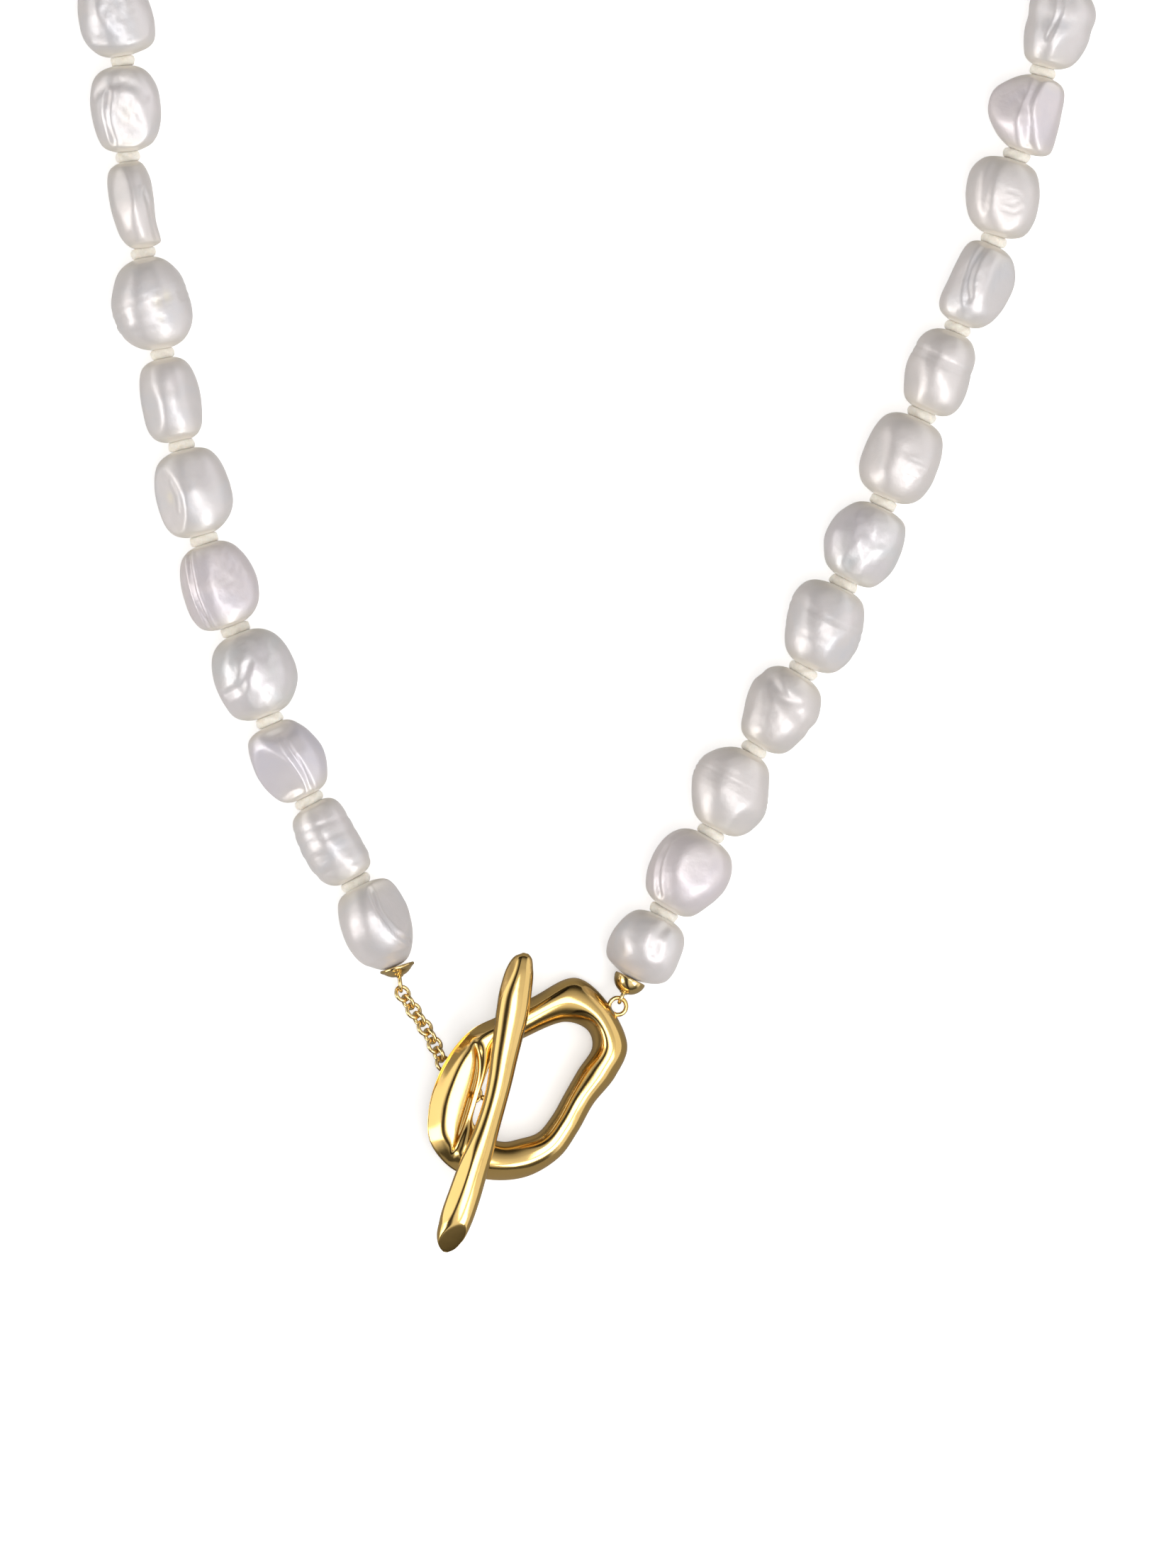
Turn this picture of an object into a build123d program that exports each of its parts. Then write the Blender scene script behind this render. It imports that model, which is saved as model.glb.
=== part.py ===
from build123d import *
import os, math

# A knotted single-strand necklace of baroque pearls with a polished toggle clasp,
# laid closed and flat: +Y runs from the clasp to the nape, +Z is up, millimetres.

# ---------------------------------------------------------------- driving dimensions
HOLE_R = 0.42            # drill hole through each pearl
THREAD_R = 0.30          # silk thread
KNOT_R = 1.32            # silk knot between two pearls
KNOT_T = 0.54            # knot thickness along the strand
END_GAP = 0.45           # pearl end face to knot centre
CAP_GAP = 0.05           # end pearl to end cap
CLASP_Z = 2.0            # height of the chain, the eyes and the soldered loops
LINK_R, LINK_W = 0.73, 0.20          # chain link: wire-centre radius, wire radius
RUN = 0.02               # running clearance where two loops hook
LEFT_CAP_R, LEFT_CAP_D, LEFT_CAP_WALL = 1.82, 1.08, 0.34
RIGHT_CAP_R, RIGHT_CAP_WALL = 1.68, 0.53
RING_LOOP_R, RING_LOOP_W = 0.87, 0.22
BAR_LOOP_R, BAR_LOOP_W = 0.90, 0.20
BAR_SHANK_R = 0.38
LEFT_CAP_DIR = (0.3, -0.9539)
LEFT_EYE_END = (-20.234, -73.275)   # centre of the eye wire that the first link hangs on
RIGHT_EYE_END = (2.181, -74.445)   # centre of the eye wire that the ring loop hangs on
RING_LOOP_C = (2.017, -74.838)

# Knot centres along the strand, from the left end cap round the nape to the right end cap (x, y, z)
KNOTS = [
    (-20.67, -70.744, 2.0), (-24.852, -62.125, 3.3), (-29.652, -53.689, 3.6),
    (-33.725, -45.471, 3.6), (-37.216, -36.162, 3.6), (-40.416, -26.925, 3.6),
    (-42.743, -17.253, 3.6), (-44.707, -7.871, 3.6), (-46.67, 2.456, 3.6),
    (-48.27, 12.347, 3.6), (-48.779, 22.165, 3.6), (-50.379, 31.935, 3.6),
    (-51.291, 41.755, 3.6), (-50.471, 51.957, 3.6), (-48.028, 61.219, 3.6),
    (-43.821, 70.24, 3.6), (-37.786, 78.619, 3.6), (-30.769, 85.275, 3.6),
    (-22.32, 90.71, 3.6), (-13.525, 94.256, 3.6), (-3.572, 96.182, 3.6),
    (6.379, 96.097, 3.6), (15.933, 94.089, 3.6), (25.312, 90.003, 3.6),
    (33.139, 84.487, 3.6), (40.027, 77.178, 3.6), (45.203, 68.79, 3.6),
    (48.744, 59.091, 3.6), (50.228, 49.535, 3.6), (49.919, 39.587, 3.6),
    (48.116, 30.655, 3.6), (45.621, 21.075, 3.6), (42.93, 12.493, 3.6),
    (40.602, 3.765, 3.6), (36.893, -5.253, 3.6), (33.184, -14.125, 3.6),
    (29.257, -23.144, 3.6), (25.184, -31.435, 3.6), (21.039, -40.38, 3.6),
    (16.021, -48.453, 3.6), (11.584, -57.035, 3.6), (6.711, -65.18, 3.3),
    (3.33, -71.98, 2.0),
]

# Each pearl: half height, then its half widths (left, right of the drill hole) at nine stations along it
STATIONS = [0.95, 1.75, 2.90]
PEARLS = [
    (3.6, [(1.7, 1.7), (2.45, 2.24), (3.07, 2.78), (3.47, 3.2), (3.64, 3.64), (3.45, 3.64), (2.98, 3.45), (2.51, 3.07), (2.04, 2.51)]),  # 01
    (3.3, [(2.22, 2.22), (2.62, 2.49), (3.0, 2.73), (3.33, 2.76), (3.33, 2.8), (3.18, 2.8), (2.95, 2.69), (2.49, 2.35), (2.13, 1.95)]),  # 02
    (3.4, [(2.18, 2.2), (2.56, 2.69), (3.0, 3.16), (3.47, 3.65), (3.76, 3.78), (3.6, 3.33), (3.33, 2.78), (3.02, 2.13), (2.69, 1.64)]),  # 03
    (3.8, [(2.2, 2.15), (2.82, 2.78), (3.53, 3.49), (3.76, 4.31), (4.15, 4.6), (3.84, 4.16), (3.25, 3.64), (2.49, 3.04), (1.91, 2.55)]),  # 04
    (3.3, [(2.73, 1.67), (3.11, 2.24), (3.62, 3.09), (3.95, 3.65), (4.04, 3.87), (3.65, 3.55), (3.18, 2.93), (2.75, 2.25), (2.11, 1.73)]),  # 05
    (3.5, [(2.33, 1.71), (2.84, 2.27), (3.38, 3.09), (3.82, 3.8), (3.98, 4.0), (3.64, 3.67), (3.15, 3.27), (2.58, 2.65), (1.85, 2.02)]),  # 06
    (3.6, [(2.16, 1.84), (2.55, 2.24), (3.0, 2.55), (3.22, 2.85), (3.25, 2.96), (3.09, 2.91), (2.71, 2.51), (2.31, 2.05), (1.85, 1.6)]),  # 07
    (3.9, [(1.51, 1.89), (2.35, 2.53), (3.16, 3.25), (4.05, 3.84), (4.36, 3.91), (3.76, 3.4), (3.07, 2.76), (2.44, 2.09), (1.71, 1.51)]),  # 08
    (3.9, [(1.11, 1.95), (1.53, 1.95), (1.98, 1.85), (2.29, 1.75), (2.6, 1.95), (2.56, 2.05), (2.38, 1.85), (2.05, 1.6), (1.65, 1.36)]),  # 09
    (3.3, [(1.82, 1.44), (2.38, 2.24), (2.85, 3.11), (3.25, 3.53), (3.56, 3.78), (3.45, 3.6), (3.18, 3.05), (2.55, 2.33), (1.84, 1.82)]),  # 10
    (3.7, [(1.75, 1.75), (2.44, 3.3), (3.18, 3.7), (3.76, 3.82), (3.85, 3.75), (3.55, 3.3), (3.0, 2.75), (2.3, 2.2), (1.7, 1.7)]),  # 11
    (3.48, [(2.15, 2.08), (2.71, 2.61), (3.34, 3.25), (3.74, 3.81), (3.74, 3.9), (3.51, 3.76), (3.18, 3.46), (2.68, 2.91), (2.01, 2.24)]),  # 12
    (3.65, [(1.64, 2.24), (2.19, 2.73), (2.97, 3.25), (3.66, 3.67), (3.85, 3.83), (3.53, 3.5), (3.15, 3.03), (2.55, 2.48), (1.94, 1.78)]),  # 13
    (3.55, [(1.86, 2.02), (2.35, 2.68), (2.73, 3.13), (3.04, 3.44), (3.68, 4.03), (3.81, 3.81), (3.44, 3.32), (2.7, 2.77), (2.02, 2.2)]),  # 14
    (3.68, [(1.82, 2.43), (2.38, 2.9), (3.11, 3.48), (3.67, 3.98), (3.96, 4.4), (3.6, 4.12), (3.37, 3.34), (2.69, 2.66), (2.1, 2.05)]),  # 15
    (3.69, [(2.46, 1.43), (3.1, 2.17), (3.81, 2.83), (4.26, 3.34), (4.21, 3.68), (3.72, 3.63), (3.1, 3.21), (2.38, 2.64), (1.71, 1.93)]),  # 16
    (3.39, [(1.48, 1.85), (2.3, 2.47), (3.1, 3.19), (3.97, 3.76), (4.27, 3.83), (3.69, 3.33), (3.01, 2.71), (2.39, 2.05), (1.67, 1.48)]),  # 17
    (3.36, [(1.79, 2.33), (2.22, 2.78), (2.6, 3.14), (2.99, 3.32), (3.38, 3.16), (3.33, 2.99), (2.88, 2.6), (2.29, 2.13), (1.68, 1.74)]),  # 18
    (3.81, [(2.2, 2.2), (2.47, 2.59), (2.7, 2.97), (2.74, 3.3), (2.77, 3.3), (2.77, 3.15), (2.67, 2.92), (2.32, 2.47), (1.93, 2.11)]),  # 19
    (3.49, [(2.15, 2.06), (2.65, 2.51), (3.12, 3.05), (3.48, 3.57), (3.99, 3.88), (3.95, 3.86), (3.45, 3.26), (2.84, 2.56), (2.24, 1.99)]),  # 20
    (3.48, [(2.69, 1.65), (3.06, 2.2), (3.56, 3.04), (3.89, 3.6), (3.97, 3.81), (3.6, 3.49), (3.13, 2.88), (2.7, 2.22), (2.08, 1.7)]),  # 21
    (3.9, [(1.79, 1.81), (2.36, 2.31), (2.75, 2.8), (2.81, 3.18), (2.69, 3.61), (2.57, 3.58), (2.48, 2.97), (2.15, 2.36), (1.81, 1.86)]),  # 22
    (3.61, [(1.58, 1.31), (1.97, 1.53), (2.28, 1.78), (2.45, 1.97), (2.49, 1.86), (2.19, 1.67), (1.9, 1.78), (1.46, 1.86), (1.06, 1.86)]),  # 23
    (3.81, [(1.79, 2.31), (2.31, 2.97), (3.08, 3.43), (3.67, 3.83), (4.03, 3.94), (3.69, 3.83), (3.11, 3.43), (2.49, 3.01), (1.84, 2.58)]),  # 24
    (3.61, [(1.87, 2.2), (2.27, 2.59), (2.59, 3.05), (2.9, 3.27), (3.01, 3.31), (2.96, 3.14), (2.55, 2.75), (2.09, 2.35), (1.63, 1.88)]),  # 25
    (3.7, [(1.76, 1.75), (2.44, 2.23), (3.05, 2.93), (3.32, 3.46), (3.42, 3.63), (3.12, 3.39), (2.74, 2.98), (2.29, 2.15), (1.75, 1.38)]),  # 26
    (3.43, [(2.52, 1.97), (3.17, 2.55), (3.77, 3.06), (4.08, 3.55), (3.94, 4.03), (3.34, 3.85), (2.83, 3.34), (2.23, 2.73), (1.71, 2.18)]),  # 27
    (3.7, [(2.69, 1.64), (3.02, 2.13), (3.33, 2.78), (3.6, 3.33), (3.76, 3.78), (3.47, 3.66), (3.0, 3.16), (2.56, 2.69), (2.18, 2.2)]),  # 28
    (3.83, [(2.11, 1.7), (2.7, 2.13), (3.69, 2.72), (4.46, 3.25), (4.7, 4.2), (3.94, 4.07), (3.23, 3.53), (2.56, 2.98), (2.13, 2.48)]),  # 29
    (3.64, [(1.23, 2.99), (1.99, 3.22), (2.93, 3.35), (3.89, 3.3), (4.47, 3.26), (4.29, 3.06), (3.06, 2.86), (2.14, 2.61), (1.34, 2.23)]),  # 30
    (3.6, [(1.7, 1.65), (2.5, 2.2), (3.4, 2.85), (4.05, 3.1), (4.04, 2.96), (3.5, 2.78), (2.96, 2.44), (2.36, 2.15), (1.89, 1.82)]),  # 31
    (3.3, [(2.24, 1.35), (2.62, 2.15), (2.87, 3.07), (3.07, 4.31), (3.27, 4.49), (3.31, 3.91), (3.36, 2.95), (3.24, 2.0), (3.0, 1.24)]),  # 32
    (3.6, [(1.44, 2.47), (2.18, 3.13), (2.85, 3.84), (3.36, 4.29), (3.71, 4.24), (3.65, 3.75), (3.24, 3.13), (2.65, 2.4), (1.95, 1.73)]),  # 33
    (3.5, [(1.95, 1.89), (2.47, 2.25), (3.11, 2.6), (3.75, 2.69), (3.78, 2.82), (3.33, 2.95), (2.93, 2.87), (2.42, 2.47), (1.89, 1.87)]),  # 34
    (3.7, [(1.82, 1.76), (2.24, 2.4), (2.73, 3.02), (3.13, 3.49), (3.31, 3.55), (3.47, 3.13), (3.29, 2.73), (2.91, 2.33), (2.44, 1.87)]),  # 35
    (3.9, [(2.05, 2.29), (2.75, 2.98), (3.25, 3.55), (3.6, 3.85), (3.84, 4.0), (3.84, 3.91), (3.42, 3.33), (2.78, 2.67), (2.2, 2.13)]),  # 36
    (3.6, [(2.35, 1.82), (3.02, 2.35), (3.49, 3.13), (3.89, 3.73), (4.0, 4.09), (3.89, 3.75), (3.49, 3.16), (3.05, 2.53), (2.62, 1.87)]),  # 37
    (3.9, [(2.04, 2.6), (2.64, 3.27), (3.16, 3.89), (3.67, 4.22), (4.16, 4.07), (3.98, 3.45), (3.45, 2.93), (2.82, 2.31), (2.25, 1.76)]),  # 38
    (3.7, [(2.2, 2.02), (2.76, 2.69), (3.31, 3.44), (3.8, 3.8), (4.02, 3.67), (3.44, 3.04), (3.13, 2.73), (2.67, 2.35), (2.02, 1.85)]),  # 39
    (3.6, [(1.65, 2.05), (2.07, 2.64), (2.65, 3.6), (3.16, 4.35), (4.09, 4.64), (3.96, 3.84), (3.44, 3.15), (2.91, 2.49), (2.42, 2.07)]),  # 40
    (3.8, [(2.35, 2.09), (2.98, 2.69), (3.62, 3.42), (4.15, 4.05), (4.18, 4.07), (3.65, 3.75), (3.27, 3.2), (2.78, 2.64), (2.25, 2.16)]),  # 41
    (3.5, [(2.38, 1.8), (2.85, 2.64), (3.35, 3.27), (3.67, 3.71), (3.69, 3.84), (3.67, 3.87), (3.65, 3.62), (3.42, 3.22), (1.62, 1.62)]),  # 42
]

# Chain link headings in degrees, from the left end cap to the bar
LINKS = [-57.49, -57.22, -56.38, -55.96, -57.86, -60.63, -64.6, -66.72, -60.73, -53.26, -45.22, -38.26]

# Toggle ring: outer edge, inner edge, mid height and half height at stations round the band
RING = [
    ((-2.089, -71.944), (-3.47, -76.453), 2.25, 2.0),
    ((0.893, -74.344), (-1.216, -77.18), 2.0, 1.95),
    ((3.002, -78.78), (-0.634, -79.144), 1.95, 1.9),
    ((1.766, -82.053), (-2.016, -81.325), 1.85, 1.8),
    ((-0.489, -84.889), (-3.398, -83.725), 1.75, 1.7),
    ((-2.089, -87.725), (-4.707, -86.053), 1.75, 1.7),
    ((-3.907, -90.271), (-6.161, -87.798), 1.75, 1.7),
    ((-6.67, -92.089), (-8.052, -88.453), 1.85, 1.8),
    ((-9.07, -92.671), (-9.507, -88.744), 2.15, 1.95),
    ((-11.907, -92.525), (-10.889, -88.453), 2.75, 1.7),
    ((-15.107, -91.435), (-12.125, -87.507), 3.3, 1.2),
    ((-17.216, -88.816), (-12.852, -86.635), 3.72, 0.78),
    ((-17.434, -85.762), (-12.561, -85.035), 3.78, 0.74),
    ((-16.561, -82.344), (-11.834, -82.853), 3.78, 0.74),
    ((-15.034, -79.435), (-11.034, -80.816), 3.75, 0.76),
    ((-12.925, -77.18), (-9.943, -79.507), 3.5, 1.0),
    ((-10.016, -75.725), (-8.852, -78.707), 3.0, 1.45),
    ((-6.743, -73.907), (-7.689, -78.125), 2.55, 1.8),
]

# Toggle bar: centre x, y, z, half width and half thickness at stations along it
BAR = [
    (-7.398, -69.362, 6.0, 0.291, 0.3),
    (-7.507, -69.762, 6.02, 0.8, 0.75),
    (-7.907, -70.78, 6.05, 1.324, 1.15),
    (-8.416, -73.107, 6.05, 1.636, 1.4),
    (-8.779, -75.435, 6.05, 1.673, 1.45),
    (-9.216, -77.762, 6.05, 1.542, 1.45),
    (-9.652, -80.016, 6.05, 1.411, 1.42),
    (-10.059, -82.344, 6.05, 1.28, 1.38),
    (-10.605, -84.671, 6.05, 1.207, 1.35),
    (-11.289, -86.998, 6.05, 1.251, 1.38),
    (-12.052, -89.325, 6.05, 1.425, 1.42),
    (-12.881, -91.653, 6.05, 1.564, 1.45),
    (-13.638, -93.98, 6.0, 1.658, 1.45),
    (-14.43, -96.271, 5.9, 1.673, 1.4),
    (-14.83, -97.435, 5.8, 1.571, 1.3),
    (-15.252, -98.562, 5.7, 1.345, 1.1),
    (-15.507, -99.58, 5.6, 0.836, 0.7),
    (-15.616, -100.053, 5.55, 0.327, 0.3),
]
BAR_SHANK_TOP = (-10.852, -84.598)

os.makedirs("parts", exist_ok=True)


def save(node, shape):
    export_step(shape, f"parts/{node}.step")


def unit(v):
    n = math.sqrt(sum(c * c for c in v))
    return tuple(c / n for c in v)


def loop_points(cx, cz, a, b, wobble, phase):
    pts = []
    for k in range(12):
        t = 2 * math.pi * k / 12
        f = 1 + wobble * math.cos(3 * t + phase)
        pts.append((cx + a * f * math.cos(t), cz + b * math.sin(t)))
    return pts


def section(origin, x_dir, z_dir, pts):
    plane = Plane(origin=origin, x_dir=x_dir, z_dir=z_dir)
    edge = Edge.make_spline([Vector(x, y) for x, y in pts], periodic=True)
    return plane * Face(Wire([edge]))


def oval(origin, x_dir, z_dir, a, b):
    """an oval section drawn as four matching quarter curves"""
    plane = Plane(origin=origin, x_dir=x_dir, z_dir=z_dir)
    k = 0.5523
    c = [(a, 0), (a, k * b), (k * a, b), (0, b), (-k * a, b), (-a, k * b), (-a, 0), (-a, -k * b), (-k * a, -b), (0, -b), (k * a, -b), (a, -k * b), (a, 0)]
    edges = [Edge.make_bezier(*[Vector(*c[j]) for j in range(q, q + 4)]) for q in (0, 3, 6, 9)]
    return plane * Face(Wire(edges))


def rod(p, q, r):
    d = Vector(*q) - Vector(*p)
    return Plane(origin=p, z_dir=d) * Cylinder(r, d.length, align=(Align.CENTER, Align.CENTER, Align.MIN))


LAST_PEARL = len(PEARLS) - 1


# ---------------------------------------------------------------- pearls
def pearl(i):
    height, widths = PEARLS[i]
    p, q = KNOTS[i], KNOTS[i + 1]
    flat = math.hypot(q[0] - p[0], q[1] - p[1])
    t = ((q[0] - p[0]) / flat, (q[1] - p[1]) / flat, 0)
    left = (-t[1], t[0], 0)
    a0 = CAP_GAP if i == 0 else END_GAP
    a1 = CAP_GAP if i == len(PEARLS) - 1 else END_GAP
    s = [a0] + STATIONS + [flat / 2] + [flat - d for d in STATIONS[::-1]] + [flat - a1]
    mid_z = (p[2] + q[2]) / 2
    faces = []
    for k, (at, (wl, wr)) in enumerate(zip(s, widths)):
        u = abs(2 * at / flat - 1)
        end = 1.2
        v = end + (height - end) * math.sqrt(max(0, 1 - u ** 2.2))
        if (i == 0 and k == 0) or (i == len(PEARLS) - 1 and k == 8):
            v = (wl + wr) / 2
        axis_z = p[2] + (q[2] - p[2]) * at / flat
        lift = (height - mid_z) * (1 - u ** 2.2) + (0.015 if i == LAST_PEARL else 0)
        zc = axis_z + lift
        if zc - v < 0.02 and k != 4:
            zc = v + 0.02
        normal = t
        if i == 0 and k == 0:
            normal = (-LEFT_CAP_DIR[0], -LEFT_CAP_DIR[1], 0)
        x_dir = (-normal[1], normal[0], 0)
        o = (p[0] + t[0] * at, p[1] + t[1] * at, 0)
        pts = loop_points((wl - wr) / 2, zc, (wl + wr) / 2, v, 0.0, 0.0)
        faces.append(section(o, x_dir, normal, pts))
    body = loft(faces)
    ext = [p[j] - (q[j] - p[j]) * 0.2 for j in range(3)]
    ext2 = [q[j] + (q[j] - p[j]) * 0.2 for j in range(3)]
    return body - rod(ext, ext2, HOLE_R)


for i in range(len(PEARLS)):
    save(f"pearl_{i + 1:02d}", pearl(i))

# ---------------------------------------------------------------- silk thread with its knots
LAST = len(KNOTS) - 1
parts = []
for i in range(LAST):
    parts.append(rod(KNOTS[i], KNOTS[i + 1], THREAD_R))
for i in range(1, LAST):
    a, b, c = KNOTS[i - 1], KNOTS[i], KNOTS[i + 1]
    d1, d2 = unit([b[j] - a[j] for j in range(3)]), unit([c[j] - b[j] for j in range(3)])
    d = unit([d1[j] + d2[j] for j in range(3)])
    knot = Cylinder(KNOT_R, KNOT_T)
    knot = fillet(knot.edges(), KNOT_T / 2 - 0.02)
    parts.append(Plane(origin=b, z_dir=d) * knot)
right_dir = unit([KNOTS[LAST][0] - KNOTS[LAST - 1][0], KNOTS[LAST][1] - KNOTS[LAST - 1][1], 0])
left_dir = (LEFT_CAP_DIR[0], LEFT_CAP_DIR[1], 0)
a = KNOTS[0]
parts.append(Pos(a[0] + left_dir[0] * 0.33, a[1] + left_dir[1] * 0.33, a[2]) * Sphere(0.36))
b = KNOTS[LAST]
parts.append(Pos(b[0] + right_dir[0] * 0.45, b[1] + right_dir[1] * 0.45, b[2]) * Sphere(0.55))
silk = parts[0].fuse(*parts[1:])
save("silk_thread", silk)


# ---------------------------------------------------------------- end caps, each with its soldered eye
def cap(rim, d, outer, inner, eye_start, eye_end):
    """outer and inner are (radius, depth) arcs; d points from the pearl to the clasp"""
    x = Vector(-d[1], d[0], 0)
    pl = Plane(origin=rim, x_dir=x, z_dir=x.cross(Vector(*d)))
    (ro, do), (ri, di) = outer, inner
    prof = (
        Line((ri, 0), (ro, 0))
        + ThreePointArc((ro, 0), (ro * 0.74, do * 0.68), (0, do))
        + Line((0, do), (0, di))
        + ThreePointArc((0, di), (ri * 0.74, di * 0.68), (ri, 0))
    )
    face = pl * make_face(prof)
    dome = revolve(face, Axis(rim, d), 360)
    e0, e1 = Vector(*eye_start), Vector(*eye_end)
    along = e1 - e0
    big = along.length / 2
    side = Vector(-along.Y, along.X, 0)
    ring = Plane(origin=(e0 + e1) * 0.5, z_dir=side) * Torus(big, LINK_W)
    return dome.fuse(ring)


rim = (a[0] + left_dir[0] * 0.0, a[1] + left_dir[1] * 0.0, CLASP_Z)
start = (rim[0] + left_dir[0] * (LEFT_CAP_D - 0.17), rim[1] + left_dir[1] * (LEFT_CAP_D - 0.17), CLASP_Z)
save("left_end_cap", cap(rim, left_dir, (LEFT_CAP_R, LEFT_CAP_D), (LEFT_CAP_R - 0.32, LEFT_CAP_D - LEFT_CAP_WALL), start, (*LEFT_EYE_END, CLASP_Z)))
rim = (b[0], b[1], CLASP_Z)
depth = RIGHT_CAP_R - 0.24
start = (rim[0] + right_dir[0] * depth, rim[1] + right_dir[1] * depth, CLASP_Z)
save("right_end_cap", cap(rim, right_dir, (RIGHT_CAP_R, RIGHT_CAP_R), (RIGHT_CAP_R - RIGHT_CAP_WALL, RIGHT_CAP_R - RIGHT_CAP_WALL), start, (*RIGHT_EYE_END, CLASP_Z)))

# ---------------------------------------------------------------- rolo chain, flat and upright links in turn
inside = LINK_R - 2 * LINK_W - RUN        # link centre to the wire it hangs on
at = list(LEFT_EYE_END)
hinges = [tuple(at)]
for k, deg in enumerate(LINKS):
    c, s_ = math.cos(math.radians(deg)), math.sin(math.radians(deg))
    half = inside if k % 2 == 0 else LINK_R
    mid = (at[0] + c * half, at[1] + s_ * half, CLASP_Z)
    if k % 2 == 0:
        link = Pos(*mid) * Torus(LINK_R, LINK_W)
    else:
        link = Plane(origin=mid, z_dir=(-s_, c, 0)) * Torus(LINK_R, LINK_W)
    save(f"chain_link_{k + 1:02d}", link)
    at = [at[0] + 2 * half * c, at[1] + 2 * half * s_]
    hinges.append(tuple(at))
print("link hinges", [(round(x, 3), round(y, 3)) for x, y in hinges])


# ---------------------------------------------------------------- toggle ring with its soldered loop
def ring_section(k):
    (ox, oy), (ix, iy), z, half = RING[k % len(RING)]
    mid = ((ox + ix) / 2, (oy + iy) / 2, z)
    w = math.hypot(ox - ix, oy - iy) / 2
    out = ((ox - ix) / (2 * w), (oy - iy) / (2 * w), 0)
    pts = []
    for j in range(16):
        t = 2 * math.pi * j / 16 + math.pi / 2
        u, v = w * math.cos(t), half * math.sin(t)
        pts.append(Vector(mid[0] + out[0] * u, mid[1] + out[1] * u, z + v))
    return Face(Wire([Edge.make_spline(pts, periodic=True)]))


arcs = [loft([ring_section(k) for k in range(k0, k1 + 1)]) for k0, k1 in ((0, 9), (9, 13), (13, 15), (15, 18))]
loop = Pos(*RING_LOOP_C, CLASP_Z) * Torus(RING_LOOP_R, RING_LOOP_W)
save("toggle_ring", arcs[0].fuse(*arcs[1:], loop))

# ---------------------------------------------------------------- toggle bar with its loop on a shank below
faces = []
for k, (x, y, z, w, half) in enumerate(BAR):
    j0, j1 = max(0, k - 1), min(len(BAR) - 1, k + 1)
    d = unit((BAR[j1][0] - BAR[j0][0], BAR[j1][1] - BAR[j0][1], 0))
    faces.append(oval((x, y, z), (-d[1], d[0], 0), d, w, half))
body = loft(faces)
hx, hy = hinges[-1]
deg = math.radians(LINKS[-1])
reach = BAR_LOOP_R - 2 * BAR_LOOP_W - RUN
lc = (hx + math.cos(deg) * reach, hy + math.sin(deg) * reach, CLASP_Z)
top = (*BAR_SHANK_TOP, CLASP_Z)
d = unit((top[0] - lc[0], top[1] - lc[1], 0))
edge = (lc[0] + d[0] * BAR_LOOP_R, lc[1] + d[1] * BAR_LOOP_R, CLASP_Z)
loop = Pos(*lc) * Torus(BAR_LOOP_R, BAR_LOOP_W)
arm = rod(edge, top, 0.30)
post = rod((top[0], top[1], CLASP_Z - 0.30), (top[0], top[1], 5.2), BAR_SHANK_R)
save("toggle_bar", body.fuse(loop, arm, post))
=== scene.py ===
import math

import bmesh
import bpy
import numpy as np
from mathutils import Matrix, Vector, noise


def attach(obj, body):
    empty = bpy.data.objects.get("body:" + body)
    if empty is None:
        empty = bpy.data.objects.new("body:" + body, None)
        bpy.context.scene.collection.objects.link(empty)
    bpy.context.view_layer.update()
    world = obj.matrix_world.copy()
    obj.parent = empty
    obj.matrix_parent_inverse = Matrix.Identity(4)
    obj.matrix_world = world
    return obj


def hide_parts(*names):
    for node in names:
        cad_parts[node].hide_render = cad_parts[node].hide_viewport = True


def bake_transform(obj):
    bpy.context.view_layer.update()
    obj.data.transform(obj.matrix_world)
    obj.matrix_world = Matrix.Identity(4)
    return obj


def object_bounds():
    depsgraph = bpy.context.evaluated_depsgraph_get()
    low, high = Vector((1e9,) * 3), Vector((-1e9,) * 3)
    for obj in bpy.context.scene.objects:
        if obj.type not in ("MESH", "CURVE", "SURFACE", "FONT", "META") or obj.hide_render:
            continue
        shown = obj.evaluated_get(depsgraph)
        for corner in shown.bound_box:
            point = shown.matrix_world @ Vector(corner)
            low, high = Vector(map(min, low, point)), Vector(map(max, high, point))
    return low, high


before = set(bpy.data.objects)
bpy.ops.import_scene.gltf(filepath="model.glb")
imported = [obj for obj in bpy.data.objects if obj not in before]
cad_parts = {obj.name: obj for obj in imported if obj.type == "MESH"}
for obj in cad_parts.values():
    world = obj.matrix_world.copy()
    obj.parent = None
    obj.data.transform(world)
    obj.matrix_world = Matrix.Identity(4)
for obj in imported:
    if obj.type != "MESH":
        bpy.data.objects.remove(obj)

CAD_LO, CAD_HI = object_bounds()

MM = 0.001
CLASP_Z = 2.0

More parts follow.
